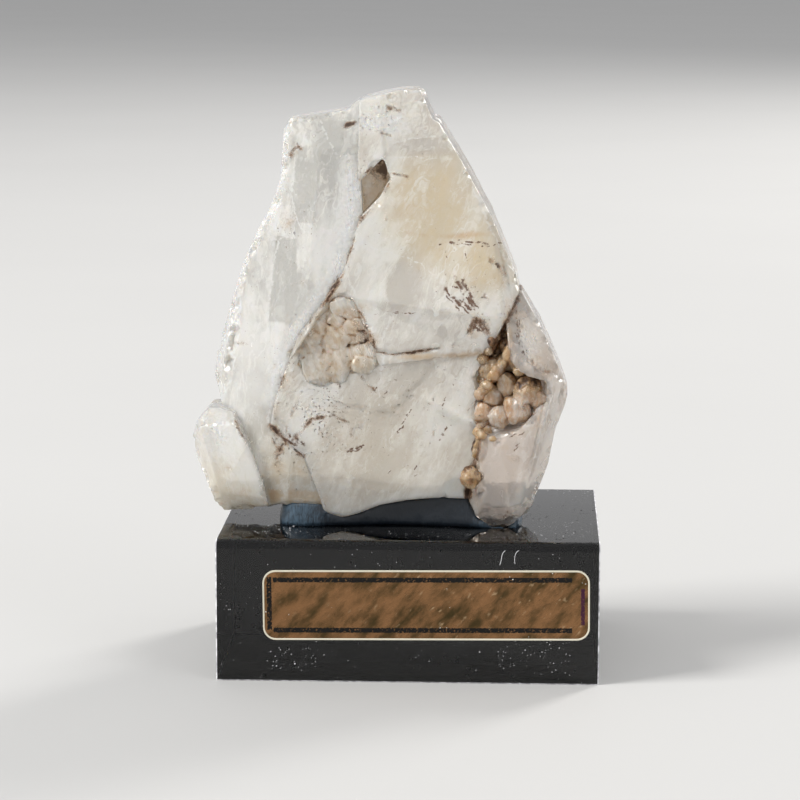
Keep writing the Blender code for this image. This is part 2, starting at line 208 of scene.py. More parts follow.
def use_group(tree, group, inputs=()):
    """Places a node group in a material with its own values."""
    placed = shader_node(tree, "Group", node_tree=group)
    for title, value in dict(inputs).items():
        if isinstance(value, bpy.types.NodeSocket):
            tree.links.new(value, placed.inputs[title])
        else:
            placed.inputs[title].default_value = value
    return placed.outputs


def ramp(tree, value, low, high):
    """Value spread smoothly from 0 at low to 1 at high."""
    spread = shader_node(tree, "MapRange", {"Value": value}, interpolation_type="SMOOTHSTEP")
    spread.inputs["From Min"].default_value = low
    spread.inputs["From Max"].default_value = high
    return spread.outputs["Result"]


def calculate(tree, operation, first, second=0.0):
    return shader_node(tree, "Math", {0: first, 1: second}, operation=operation).outputs[0]


def times(tree, first, second):
    return calculate(tree, "MULTIPLY", first, second)


def larger(tree, first, second):
    return calculate(tree, "MAXIMUM", first, second)


def plus(tree, base, value, share):
    """A base with a share of another value added to it."""
    return shader_node(tree, "Math", {0: value, 1: share, 2: base}, operation="MULTIPLY_ADD").outputs[0]


def noise(tree, inputs):
    return shader_node(tree, "TexNoise", inputs).outputs["Fac"]


def blend_colour(tree, amount, first, second):
    """First colour where amount is 0, second where it is 1."""
    return shader_node(tree, "MixRGB", {"Fac": amount, "Color1": first, "Color2": second}).outputs[0]


# Dust: round specks of many sizes, thrown over a surface and thinned out in patches.
dust, given, result = group_tree("dust_specks", {"Amount": 0.3, "Speck": 1.0}, {"Mask": "Float"})
place = place_on(dust)
cells = shader_node(dust, "TexVoronoi", {"Vector": place, "Scale": 2300.0})
random_size = shader_node(dust, "SeparateColor", {0: cells.outputs["Color"]}).outputs
patches = noise(dust, {"Vector": place, "Scale": 150.0, "Detail": 4.0})
thin = times(dust, ramp(dust, patches, 0.46, 0.70), given["Amount"])
present = calculate(dust, "LESS_THAN", random_size[0], thin)
reach = times(dust, times(dust, random_size[1], 0.42), given["Speck"])
inside = calculate(dust, "LESS_THAN", cells.outputs["Distance"], reach)
dust.links.new(times(dust, present, inside), result["Mask"])


polished, tree, shader = new_material("smoke_acrylic")
place = place_on(tree)
specks = use_group(tree, dust, {"Amount": 0.6, "Speck": 1.0})["Mask"]
turned = shader_node(tree, "Mapping", {"Vector": place, "Scale": (60.0, 900.0, 60.0)}).outputs[0]
hairlines = noise(tree, {"Vector": turned, "Scale": 1.0, "Detail": 5.0})
scratched = ramp(tree, hairlines, 0.60, 0.70)
shader.inputs["IOR"].default_value = ACRYLIC_IOR
shader.inputs["Transmission Weight"].default_value = 1.0
feed(shader, "Base Color", blend_colour(tree, specks, (0.93, 0.94, 0.97, 1.0), (1.0, 1.0, 1.0, 1.0)))
rough = plus(tree, 0.015, scratched, 0.10)
feed(shader, "Roughness", plus(tree, rough, specks, 0.7))
height = plus(tree, specks, scratched, -0.2)
bump = shader_node(tree, "Bump", {"Height": height, "Strength": 0.35, "Distance": 0.03 * MM})
feed(shader, "Normal", bump.outputs[0])
smoke = shader_node(tree, "VolumeAbsorption", {"Color": SMOKE_COLOUR, "Density": SMOKE_DENSITY})
tree.links.new(smoke.outputs[0], tree.nodes["Material Output"].inputs["Volume"])

sawn, tree, shader = new_material("sawn_acrylic_edge")
place = place_on(tree)
chatter = noise(tree, {"Vector": place, "Scale": 900.0, "Detail": 4.0})
chalky = ramp(tree, chatter, 0.40, 0.62)
chalky = blend_colour(tree, chalky, (0.40, 0.40, 0.43, 1.0), (0.92, 0.92, 0.94, 1.0))
feed(shader, "Base Color", chalky)
feed(shader, "Roughness", plus(tree, 0.4, chatter, 0.4))
bump = shader_node(tree, "Bump", {"Height": chatter, "Strength": 0.8, "Distance": 0.08 * MM})
feed(shader, "Normal", bump.outputs[0])

block = skin_of("acrylic_block", "display_block")
edit_whole()
bpy.ops.mesh.dissolve_limited(angle_limit=math.radians(0.5))
bpy.ops.object.mode_set(mode="OBJECT")
block.data.materials.append(polished)
block.data.materials.append(sawn)
for face in block.data.polygons:
    nose = face.normal.y < -0.05 and face.normal.z > 0.05 and abs(face.normal.x) < 0.01
    tilted = sorted(abs(part) for part in face.normal)
    corners = [block.data.vertices[index].co for index in face.vertices]
    sides = [max(axis) - min(axis) for axis in zip(*corners)]
    if not nose and tilted[1] > 0.5 and sorted(sides)[1] < SAWN_EDGE_WIDTH * MM:
        face.material_index = 1
bpy.ops.object.shade_smooth_by_angle(angle=math.radians(30))
settle(block, "acrylic_block")


# ---------------------------------------------------------------------------------------------
# Dust. Fine white grains that cling to the acrylic by static, thicker in patches, and two textile
# fibres stuck on the front; the place of each grain is chance, the patches are chosen.
DUST_SIZES = (0.030, 0.085)
DUST_ON_FRONT = [(0.0, 9.0, 25.0, 9.0, 110), (-15.5, 3.0, 3.4, 1.6, 50), (17.0, 4.0, 5.0, 2.6, 70)]
DUST_ON_TOP = [(-19.0, -12.0, 4.5, 3.0, 70), (20.0, -9.0, 4.5, 5.5, 90), (0.0, -14.5, 20.0, 2.0, 50)]
FIBRE_WIDTH = 0.035
FIBRES = [
    [(12.9, 18.5), (12.2, 17.5), (12.6, 17.0), (12.3, 16.5), (12.2, 16.1)],
    [(14.7, 18.8), (14.4, 18.3), (14.1, 17.5), (14.1, 17.0), (14.2, 16.3)],
]
(_, front_y, _), (_, _, top_z) = (Vector(corner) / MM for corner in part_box("acrylic_block"))



def strew(first, name, spot, turn, scale):
    """Adds one selected copy of a grain, with a mesh of its own, at a spot."""
    grain = bpy.data.objects.new(name, first.data.copy())
    bpy.context.scene.collection.objects.link(grain)
    grain.location = spot
    grain.rotation_euler = turn
    grain.scale = scale
    grain.select_set(True)
    return grain


bpy.ops.object.select_all(action="DESELECT")
bpy.ops.mesh.primitive_ico_sphere_add(subdivisions=1, radius=MM)
first = bpy.context.object
chance = random.Random(17)
bpy.ops.object.select_all(action="DESELECT")
for families, lies_on_top in ((DUST_ON_FRONT, False), (DUST_ON_TOP, True)):
    for x, across, half_x, half_across, count in families:
        for _ in range(count):
            here = x + half_x * chance.uniform(-1, 1)
            there = across + half_across * chance.uniform(-1, 1)
            spot = (here, there, top_z) if lies_on_top else (here, front_y, there)
            size = chance.uniform(*DUST_SIZES) * chance.uniform(0.6, 1.0)
            scale = [size * chance.uniform(0.6, 1.4) for _ in range(3)]
            grain = strew(first, "dust", Vector(spot) * MM, (0.0, 0.0, 0.0), scale)
bpy.data.objects.remove(first)
for route in FIBRES:
    bpy.ops.curve.primitive_nurbs_path_add(radius=MM)
    fibre = bpy.context.object
    for knot, (x, z) in zip(fibre.data.splines[0].points, route):
        knot.co = (x * MM, (front_y - FIBRE_WIDTH) * MM, min(z, top_z - 1.0) * MM, 1.0)
    fibre.data.bevel_depth = FIBRE_WIDTH * MM
    fibre.data.bevel_resolution = 1
    bpy.ops.object.select_all(action="DESELECT")
    fibre.select_set(True)
    bpy.ops.object.convert(target="MESH")
for loose in bpy.context.scene.objects:
    loose.select_set(loose.name.startswith(("dust", "NurbsPath")))
bpy.context.view_layer.objects.active = grain
bpy.ops.object.join()
bpy.ops.object.transform_apply(location=True, rotation=True, scale=True)
grain.name = "block_dust"
lint, tree, shader = new_material("white_lint")
place = place_on(tree)
fluff = noise(tree, {"Vector": place, "Scale": 2600.0, "Detail": 2.0})
lint_colour = blend_colour(tree, fluff, (0.95, 0.95, 0.96, 1.0), (0.62, 0.62, 0.66, 1.0))
feed(shader, "Base Color", lint_colour)
shader.inputs["Roughness"].default_value = 0.9
grain.data.materials.append(lint)
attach(grain, "root")


# ---------------------------------------------------------------------------------------------
# Foil label. Thin copper-coloured foil on cream paper, die-cut with round corners, with a printed
# black border line; creased a little and stuck on by hand, so that it is not quite level.
LABEL_WIDTH, LABEL_HEIGHT, LABEL_CORNER = 43.2, 9.4, 1.7
LABEL_TILT = 0.6
FOIL_SLANT = -42
PAPER_RIM = 0.16
BORDER_BARS = {
    "top": (-20.1, 19.4, 3.22, 3.87),
    "bottom": (-20.1, 19.4, -3.58, -2.93),
    "left": (-20.93, -20.28, -3.2, 3.95),
    "right": (20.57, 21.07, -2.5, 2.4),
}
COPPER, OLIVE = (0.30, 0.155, 0.070, 1.0), (0.070, 0.048, 0.020, 1.0)
INK, PLUM_INK = (0.006, 0.005, 0.004, 1.0), (0.05, 0.012, 0.03, 1.0)
PAPER = (0.78, 0.74, 0.60, 1.0)

low, high = (Vector(corner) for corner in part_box("foil_label"))
label_centre = (low + high) / 2
bpy.ops.object.select_all(action="DESELECT")
bpy.ops.mesh.primitive_cube_add(size=1.0)
label = bpy.context.object
label.name = "foil_label_plate"
label.scale = (LABEL_WIDTH * MM, high.y - low.y, LABEL_HEIGHT * MM)
label.rotation_euler.y = -math.radians(LABEL_TILT)
bpy.ops.object.transform_apply(location=False, rotation=False, scale=True)
bpy.ops.object.mode_set(mode="EDIT")
bpy.ops.mesh.select_mode(type="EDGE")
bpy.ops.mesh.select_all(action="DESELECT")
bpy.ops.object.mode_set(mode="OBJECT")
for edge in label.data.edges:
    start, end = (label.data.vertices[index].co for index in edge.vertices)
    edge.select = abs(start.y - end.y) > 0.1 * MM
bpy.ops.object.mode_set(mode="EDIT")
bpy.ops.mesh.bevel(offset=LABEL_CORNER * MM, segments=8, affect="EDGES")
bpy.ops.mesh.select_mode(type="FACE")
bpy.ops.mesh.select_all(action="DESELECT")
bpy.ops.object.mode_set(mode="OBJECT")
for face in label.data.polygons:
    face.select = face.normal.y < -0.9
bpy.ops.object.mode_set(mode="EDIT")
bpy.ops.mesh.inset(thickness=PAPER_RIM * MM, depth=0.0)
bpy.ops.mesh.inset(thickness=0.06 * MM, depth=-0.04 * MM)
bpy.ops.object.mode_set(mode="OBJECT")
label.location = label_centre
bpy.ops.object.transform_apply(location=True, rotation=True, scale=True)

paper, tree, shader = new_material("cream_paper")
place = place_on(tree)
fibre = noise(tree, {"Vector": place, "Scale": 1500.0, "Detail": 3.0})
feed(shader, "Base Color", blend_colour(tree, fibre, PAPER, [channel * 0.8 for channel in PAPER]))
shader.inputs["Roughness"].default_value = 0.8

bar, given, result = group_tree(
    "printed_bar",
    {"Place": (0.0, 0.0, 0.0), "Left": -1.0, "Right": 1.0, "Bottom": -1.0, "Top": 1.0},
    {"Mask": "Float"},
)
across = shader_node(bar, "SeparateXYZ", {0: given["Place"]}).outputs
inside = calculate(bar, "GREATER_THAN", across["X"], given["Left"])
for operation, axis, limit in (
    ("LESS_THAN", "X", "Right"),
    ("GREATER_THAN", "Z", "Bottom"),
    ("LESS_THAN", "Z", "Top"),
):
    inside = times(bar, inside, calculate(bar, operation, across[axis], given[limit]))
bar.links.new(inside, result["Mask"])

foil, tree, shader = new_material("mottled_foil")
place = place_on(tree)
on_label = shader_node(tree, "Mapping", {"Vector": place, "Scale": (MM, MM, MM)}, vector_type="TEXTURE")
on_label.inputs["Location"].default_value = label_centre
on_label.inputs["Rotation"].default_value = (0.0, -math.radians(LABEL_TILT), 0.0)
on_label = on_label.outputs[0]
slant = {"Vector": on_label, "Angle": math.radians(FOIL_SLANT)}
slanted = shader_node(tree, "VectorRotate", slant, rotation_type="Y_AXIS")
drawn_out = shader_node(tree, "Mapping", {"Vector": slanted.outputs[0], "Scale": (0.5, 0.3, 0.22)})
mottling = {"Vector": drawn_out.outputs[0], "Detail": 7.0, "Roughness": 0.58, "Scale": 1.0}
patches = shader_node(tree, "TexNoise", mottling)
creases = shader_node(tree, "TexNoise", {"Vector": drawn_out.outputs[0], "Scale": 3.4, "Detail": 4.0})
colour = blend_colour(tree, ramp(tree, patches.outputs["Fac"], 0.36, 0.70), COPPER, OLIVE)
along = shader_node(tree, "SeparateXYZ", {0: on_label}).outputs["X"]
# Painted highlights: thin light glints along the creases, more of them towards the right end, painted into
# the foil's colour.
painted_glints = ramp(tree, creases.outputs["Fac"], 0.60, 0.80)
painted_glints = times(tree, painted_glints, ramp(tree, along, -30.0, 16.0))
colour = blend_colour(tree, painted_glints, colour, (0.62, 0.44, 0.26, 1.0))
worn = shader_node(tree, "TexNoise", {"Vector": on_label, "Scale": 4.0, "Detail": 3.0})
wobble = shader_node(tree, "VectorMath", {0: worn.outputs["Color"], 1: (0.25,) * 3, 2: on_label})
wobble.operation = "MULTIPLY_ADD"
unworn = ramp(tree, worn.outputs["Fac"], 0.30, 0.42)
ink = 0.0
for side, limits in BORDER_BARS.items():
    extent = dict(zip(("Left", "Right", "Bottom", "Top"), limits), Place=wobble.outputs[0])
    printed = use_group(tree, bar, extent)["Mask"]
    printed = times(tree, printed, unworn)
    colour = blend_colour(tree, printed, colour, PLUM_INK if side == "right" else INK)
    ink = larger(tree, printed, ink)
specks = use_group(tree, dust, {"Amount": 0.15, "Speck": 0.8})["Mask"]
feed(shader, "Base Color", blend_colour(tree, specks, colour, (0.8, 0.78, 0.72, 1.0)))
shader.inputs["Specular IOR Level"].default_value = 0.2
metal = calculate(tree, "SUBTRACT", 1.0, larger(tree, ink, specks))
feed(shader, "Metallic", times(tree, metal, 0.9))
rough = plus(tree, 0.14, patches.outputs["Fac"], 0.25)
feed(shader, "Roughness", rough)
height = plus(tree, creases.outputs["Fac"], patches.outputs["Fac"], 3.0)
bump = shader_node(tree, "Bump", {"Height": height, "Strength": 0.6, "Distance": 0.22 * MM})
feed(shader, "Normal", bump.outputs[0])

label.data.materials.append(paper)
label.data.materials.append(foil)
for face in label.data.polygons:
    if face.normal.y < -0.99 and face.area > 100 * MM**2:
        face.material_index = 1
bpy.ops.object.shade_smooth_by_angle(angle=math.radians(30))
settle(label, "foil_label")


# ---------------------------------------------------------------------------------------------
# Mounting putty. A strip of dark blue-grey putty kneaded by hand and pressed under the crystals,
# which print their feet in it; it is smeared and a little glossy, with finger streaks. Its middle,
# under the crystals' arch, is painted darker as shade.
PUTTY_BLUE, PUTTY_PALE = (0.004, 0.009, 0.016, 1.0), (0.060, 0.105, 0.150, 1.0)
PUTTY_MIDDLE = 2.0


def swell(piece, by):
    """Moves every face out by that many mm, into the clearance that the solids keep."""
    edit_whole()
    bpy.ops.transform.shrink_fatten(value=by * MM, use_even_offset=True)
    bpy.ops.object.mode_set(mode="OBJECT")


def reskin(piece, voxel):
    """Gives a piece an even skin of small faces, a voxel in mm wide."""
    remesh = piece.modifiers.new("even_skin", "REMESH")
    remesh.mode = "VOXEL"
    remesh.voxel_size = voxel * MM
    bpy.ops.object.modifier_apply(modifier=remesh.name)


def relax(repeat):
    """Smooths the whole of the active piece a little, so many times."""
    edit_whole()
    bpy.ops.mesh.vertices_smooth(factor=0.5, repeat=repeat)
    bpy.ops.object.mode_set(mode="OBJECT")


def get_points(piece):
    """The piece's vertices as an array in mm."""
    flat = np.empty(len(piece.data.vertices) * 3)
    piece.data.vertices.foreach_get("co", flat)
    return flat.reshape(-1, 3) / MM


def set_points(piece, points):
    piece.data.vertices.foreach_set("co", (points * MM).ravel())
    piece.data.update()


putty = skin_of("mounting_putty", "kneaded_putty")
swell(putty, 0.2)
reskin(putty, 0.35)
relax(4)
kneaded = bpy.data.textures.new("kneaded", "CLOUDS")
kneaded.noise_scale = 2.6 * MM
knead = putty.modifiers.new("knead", "DISPLACE")
knead.texture = kneaded
knead.strength = 0.35 * MM
knead.mid_level = 0.6
knead.texture_coords = "LOCAL"
bpy.ops.object.modifier_apply(modifier=knead.name)
block_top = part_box("acrylic_block")[1][2] / MM
points = get_points(putty)
low_part = points[:, 2] < block_top + 0.9
points[low_part, 2] = block_top + 0.02 + np.maximum(points[low_part, 2] - block_top - 0.45, 0) * 2
set_points(putty, points)

streaky, tree, shader = new_material("blue_grey_putty")
place = place_on(tree)
fanned = shader_node(tree, "Mapping", {"Vector": place, "Scale": (900.0, 120.0, 260.0)}).outputs[0]
smeared = {"Vector": fanned, "Detail": 5.0, "Roughness": 0.6, "Distortion": 0.4}
streaks = shader_node(tree, "TexNoise", smeared)
smear = shader_node(tree, "TexNoise", {"Vector": place, "Scale": 180.0, "Detail": 3.0})
shade = times(tree, streaks.outputs["Fac"], smear.outputs["Fac"])
# Darker towards the middle, under the crystals' arch: painted shade. The streaks and smears are the putty's
# own colour.
across = shader_node(tree, "SeparateXYZ", {0: place}).outputs["X"]
to_end = calculate(tree, "ABSOLUTE", calculate(tree, "ADD", across, PUTTY_MIDDLE * MM))
shade = times(tree, shade, calculate(tree, "ADD", ramp(tree, to_end, 6 * MM, 14 * MM), 0.45))
feed(shader, "Base Color", blend_colour(tree, ramp(tree, shade, 0.16, 0.52), PUTTY_BLUE, PUTTY_PALE))
feed(shader, "Roughness", plus(tree, 0.3, smear.outputs["Fac"], 0.3))
shader.inputs["Coat Weight"].default_value = 0.2
bump = shader_node(tree, "Bump", {"Height": streaks.outputs["Fac"], "Strength": 0.6, "Distance": 0.2 * MM})
feed(shader, "Normal", bump.outputs[0])
putty.data.materials.append(streaky)
bpy.ops.object.shade_smooth()
settle(putty, "mounting_putty")


# ---------------------------------------------------------------------------------------------
# Main blade. One big cleaved crystal of milky gypsum, grown, not made: broken and chipped along its
# edges, stepped where a plate of it has split off, and stained by iron that crept in along its seams.
# The shadow under that step is painted in as a dark brown line.
BLADE_VOXEL = 0.24
CRYSTAL_GROWTH = 0.27
SEAM_OF_BLADES = [
    (-6.8, 76.2), (-7.0, 68.3), (-6.6, 61.2), (-8.9, 53.6), (-11.5, 49.6), (-15.0, 44.8),
    (-16.6, 40.7), (-18.2, 36.0), (-18.8, 32.7), (-16.5, 30.2), (-14.5, 28.6), (-12.6, 24.1),
    (-11.2, 19.9),
]
SEAM_OF_PRISM = [(14.6, 50.9), (12.9, 47.6), (11.4, 44.3), (9.8, 40.0), (9.3, 31.5), (7.9, 23.2)]
LIP_OF_UPPER_PLATE = [(-4.4, 42.9), (-2.5, 42.6), (0.2, 42.9), (3.9, 43.5), (8.6, 44.1)]
INNER_SEAM = [(-12.6, 42.7), (-14.1, 38.2), (-15.3, 36.0), (-16.4, 32.9), (-16.8, 31.8)]
HOLLOW_RIM = [
    (-12.6, 49.3), (-11.6, 49.8), (-9.5, 49.6), (-7.9, 49.5), (-6.3, 47.5), (-4.5, 43.0),
]
HOLLOW_OUTLINE = [
    (-11.9, 49.6), (-7.5, 49.8), (-4.2, 42.2), (-6.5, 40.4), (-13.0, 39.0), (-15.0, 41.5), (-13.6, 46.0),
]


FOOT_ARCH = [(-11.0, 19.6), (-5.5, 21.5), (-1.5, 23.2), (3.0, 23.5), (8.0, 23.0)]
LOWER_SLAB_FACE = [
    (-4.0, 40.8), (8.0, 41.2), (8.6, 38.0), (8.2, 26.0), (-3.0, 24.5), (-9.0, 23.0), (-14.0, 34.0),
]
PIT_RIM = [(-3.6, 69.2), (-2.6, 66.2), (-3.9, 63.6), (-6.9, 60.4), (-7.6, 61.8), (-7.3, 65.6), (-3.6, 69.2)]
OCHRE_UNDER_LIP = [(-1.5, 42.3), (3.7, 42.4), (8.9, 42.8)]
BEIGE_BODY = [(-2.2, 68.0), (5.6, 68.6), (13.6, 52.0), (9.2, 51.0), (5.4, 52.2), (0.5, 55.6), (-3.8, 58.0)]


def convex_edge_places(piece, spacing, sharper_than):
    """Places in mm along the crystal's sharp outer edges, each with the way its edge faces."""
    shape = bmesh.new()
    shape.from_mesh(piece.data)
    places = []
    for edge in shape.edges:
        if len(edge.link_faces) != 2 or not edge.is_convex or edge.calc_face_angle() < sharper_than:
            continue
        facing = (edge.link_faces[0].normal + edge.link_faces[1].normal).normalized()
        start, end = (vert.co / MM for vert in edge.verts)
        count = max(1, round((end - start).length / spacing))
        for step in range(count):
            places.append((start.lerp(end, (step + 0.5) / count), facing))
    shape.free()
    return places


def flake(points, centre, normal, depth, radius):
    """Strikes off what stands beyond a plane, within a radius: a small chip with a flat scar."""
    offset = points - centre
    above = offset @ normal + depth
    struck = (above > 0) & ((offset**2).sum(axis=1) < radius**2)
    points[struck] -= above[struck, None] * normal


def chip_edges(points, places, chance, share, size, depth, sound):
    """Chips a share of the places along a crystal's edges, but seldom along the sound stretches."""
    flat_places = np.array([(place.x, place.z) for place, _ in places])
    spared = np.min([distance_to_line(flat_places, line) for line in sound], axis=0) < 1.0
    for (place, facing), spare in zip(places, spared):
        if abs(facing.y) > 0.85 or chance.random() > share * (0.08 if spare else 1.0):
            continue
        lean = Vector([chance.gauss(0, 0.45) for _ in range(3)])
        normal = np.array((facing + lean).normalized())
        amount = min(chance.expovariate(1.0), 2.2)
        flake(points, np.array(place), normal, depth * amount, size * chance.uniform(0.6, 1.6))


def distance_to_line(flat, line):
    """Distance in mm of each (x, z) from a run of straight stretches."""
    nearest = np.full(len(flat), np.inf)
    for start, end in zip(line, line[1:]):
        run = np.subtract(end, start)
        along = np.clip(((flat - start) @ run) / (run @ run), 0, 1)
        nearest = np.minimum(nearest, np.linalg.norm(flat - start - along[:, None] * run, axis=1))
    return nearest


def near_line(points, line, width):
    """1 on a line drawn on the crystal, in (x, z), falling off to 0 over a width in mm."""
    return np.exp(-((distance_to_line(points[:, [0, 2]], line) / width) ** 2))


def near_spot(points, x, z, half_x, half_z):
    """1 in the middle of a round patch, falling off to 0."""
    return np.exp(-(((points[:, 0] - x) / half_x) ** 2) - ((points[:, 2] - z) / half_z) ** 2)


def spots(points, *rows):
    """Several round patches added up: the strength, middle and half sizes of each."""
    return sum(strength * near_spot(points, *patch) for strength, *patch in rows)


def paint(piece, **masks):
    """Stores each mask on the piece's vertices, for its material to read."""
    for name, values in masks.items():
        attribute = piece.data.attributes.new(name, "FLOAT", "POINT")
        attribute.data.foreach_set("value", np.clip(values, 0, 1).astype(np.float32))


# Milkiness: cloudy veils drawn out along the growth direction, feathery white fractures, patches
# with straight sides where cleavages inside throw the light back, and crushed, sparkling grains.
veils, given, result = group_tree(
    "gypsum_veils",
    {"Lean": 0.0, "Size": 1.0},
    {"Milk": "Float", "Feather": "Float", "Patch": "Float", "Striae": "Float", "Crush": "Float"},
)
place = place_on(veils)
turn = shader_node(veils, "CombineXYZ", {"Y": given["Lean"]}).outputs[0]
leaning = shader_node(veils, "VectorRotate", {"Vector": place, "Rotation": turn}, rotation_type="EULER_XYZ")
leaning = shader_node(veils, "VectorMath", {0: leaning.outputs[0]}, operation="SCALE")
veils.links.new(calculate(veils, "DIVIDE", 1000.0, given["Size"]), leaning.inputs["Scale"])
leaning = leaning.outputs[0]


def veil_noise(stretch, detail, roughness, distortion):
    drawn = shader_node(veils, "Mapping", {"Vector": leaning, "Scale": stretch}).outputs[0]
    settings = {"Vector": drawn, "Scale": 1.0, "Detail": detail, "Roughness": roughness}
    return noise(veils, {**settings, "Distortion": distortion})


veils.links.new(ramp(veils, veil_noise((0.17, 0.12, 0.08), 9.0, 0.66, 0.15), 0.36, 0.64), result["Milk"])
ridge = calculate(veils, "SUBTRACT", veil_noise((0.34, 0.2, 0.11), 8.0, 0.6, 0.4), 0.5)
veils.links.new(ramp(veils, calculate(veils, "ABSOLUTE", ridge), 0.022, 0.0), result["Feather"])
warped = veil_noise((0.5, 0.4, 0.3), 2.0, 0.5, 0.0)
blocks = shader_node(veils, "Mapping", {"Vector": leaning, "Scale": (0.26, 0.2, 0.14)}).outputs[0]
warp = {0: blocks, 1: warped, 2: (0.35, 0.3, 0.2)}
blocks = shader_node(veils, "VectorMath", warp, operation="MULTIPLY_ADD")
blocks = shader_node(veils, "TexVoronoi", {"Vector": blocks.outputs[0], "Scale": 1.0}, distance="MANHATTAN")
veils.links.new(shader_node(veils, "SeparateColor", {0: blocks.outputs["Color"]}).outputs[0], result["Patch"])
veils.links.new(veil_noise((2.4, 1.0, 0.12), 3.0, 0.6, 0.0), result["Striae"])
crushed = shader_node(veils, "TexVoronoi", {"Vector": leaning, "Scale": 2.1}).outputs["Distance"]
veils.links.new(crushed, result["Crush"])

# Iron stain: a honey tint that soaks in round the seams, rust along them, and dark brown specks and
# broken lines where the oxide is thick. The rust channel also carries painted shade: the dark line
# under the main blade's upper plate, and the joints of the small grains.
stain, given, result = group_tree(
    "iron_stain",
    {"Clean": (0.8, 0.8, 0.8, 1.0), "Honey": 0.0, "Rust_and_shade": 0.0, "Specks": 0.0},
    {"Colour": "Color", "Stained": "Float"},
)
place = place_on(stain)
soak = shader_node(stain, "TexNoise", {"Vector": place, "Scale": 320.0, "Detail": 5.0, "Roughness": 0.65})
crumb = shader_node(stain, "TexNoise", {"Vector": place, "Scale": 1300.0, "Detail": 4.0, "Roughness": 0.7})
uneven = calculate(stain, "SUBTRACT", soak.outputs["Fac"], 0.5)
broken = calculate(stain, "SUBTRACT", crumb.outputs["Fac"], 0.5)
honey = ramp(stain, plus(stain, given["Honey"], uneven, 2.2), 0.15, 1.25)
rust = plus(stain, given["Rust_and_shade"], uneven, 2.2)
rust = plus(stain, rust, broken, 1.1)
crumbs = noise(stain, {"Vector": place, "Scale": 2900.0, "Detail": 2.0})
crumbs = plus(stain, crumbs, given["Specks"], 0.19)
clumped = times(stain, uneven, 0.22)
dot = ramp(stain, calculate(stain, "ADD", crumbs, clumped), 0.735, 0.765)
vein = shader_node(stain, "TexNoise", {"Vector": place, "Scale": 700.0, "Detail": 5.0, "Distortion": 1.0})
vein = calculate(stain, "ABSOLUTE", calculate(stain, "SUBTRACT", vein.outputs["Fac"], 0.5))
vein = times(stain, ramp(stain, vein, 0.03, 0.005), ramp(stain, rust, 0.35, 0.7))
honey = times(stain, honey, 0.8)
colour = blend_colour(stain, honey, given["Clean"], (0.62, 0.40, 0.18, 1.0))
light_rust = ramp(stain, rust, 0.50, 0.95)
dark_rust = larger(stain, ramp(stain, rust, 0.78, 1.05), times(stain, dot, 0.9))
dark_rust = larger(stain, dark_rust, times(stain, vein, 0.85))
light_rust = times(stain, light_rust, 0.9)
colour = blend_colour(stain, light_rust, colour, (0.30, 0.14, 0.045, 1.0))
colour = blend_colour(stain, dark_rust, colour, (0.045, 0.016, 0.005, 1.0))
stain.links.new(colour, result["Colour"])
stain.links.new(larger(stain, light_rust, dark_rust), result["Stained"])


GYPSUM_TINT, GYPSUM_DENSITY = (0.97, 0.93, 0.86, 1.0), 30.0


def mask_of(tree, name):
    return shader_node(tree, "Attribute", attribute_name=name).outputs["Fac"]


def gypsum(name, milky, glassy, warm, lean, size=1.0, see_through=0.30):
    """A crystal's finish: milky and glassy gypsum, warmed, frosted and stained where it was painted; the
    frost channel also carries a painted highlight, the rust channel painted shade.
    """
    material, tree, shader = new_material(name)
    place = place_on(tree)
    inside = use_group(tree, veils, {"Lean": math.radians(lean), "Size": size})
    frost = mask_of(tree, "frost")
    patchy = times(tree, inside["Milk"], 0.7)
    patchy = plus(tree, patchy, inside["Patch"], 0.42)
    patchy = plus(tree, patchy, inside["Feather"], 0.22)
    patchy = plus(tree, patchy, mask_of(tree, "milk"), 0.6)
    patchy = calculate(tree, "SUBTRACT", patchy, times(tree, mask_of(tree, "clear"), 0.62))
    cloud = larger(tree, ramp(tree, patchy, 0.05, 1.0), frost)
    colour = blend_colour(tree, cloud, (*glassy, 1.0), (*milky, 1.0))
    warmed = times(tree, mask_of(tree, "warmth"), ramp(tree, patchy, 1.35, 0.0))
    colour = blend_colour(tree, warmed, colour, (*warm, 1.0))
    colour = blend_colour(tree, times(tree, frost, 0.8), colour, (0.96, 0.955, 0.94, 1.0))
    marks = {"Clean": colour, "Honey": mask_of(tree, "honey"), "Rust_and_shade": mask_of(tree, "rust")}
    stained = use_group(tree, stain, {**marks, "Specks": mask_of(tree, "specks")})
    feed(shader, "Base Color", stained["Colour"])
    gloss = plus(tree, 0.12, inside["Patch"], 0.16)
    gloss = plus(tree, gloss, frost, 0.12)
    gloss = plus(tree, gloss, stained["Stained"], 0.35)
    feed(shader, "Roughness", gloss)
    relief = times(tree, inside["Striae"], 0.16)
    relief = plus(tree, relief, inside["Patch"], 0.16)
    grainy = plus(tree, 0.22, frost, 1.6)
    crushed = times(tree, inside["Crush"], grainy)
    bump = shader_node(tree, "Bump", {"Height": calculate(tree, "ADD", relief, crushed), "Strength": 0.7})
    bump.inputs["Distance"].default_value = 0.14 * MM
    feed(shader, "Normal", bump.outputs[0])
    shader.inputs["IOR"].default_value = 1.52
    shader.inputs["Transmission Weight"].default_value = see_through
    shader.inputs["Subsurface Weight"].default_value = 0.8
    shader.inputs["Subsurface Radius"].default_value = (1.0, 0.88, 0.74)
    shader.inputs["Subsurface Scale"].default_value = 2.0 * MM
    return material


def deepen(material):
    """Lets a clear crystal take a little light, and a shade more of the blue, along its depth."""
    tree = material.node_tree
    depths = shader_node(tree, "VolumeAbsorption", {"Color": GYPSUM_TINT, "Density": GYPSUM_DENSITY})
    tree.links.new(depths.outputs[0], tree.nodes["Material Output"].inputs["Volume"])


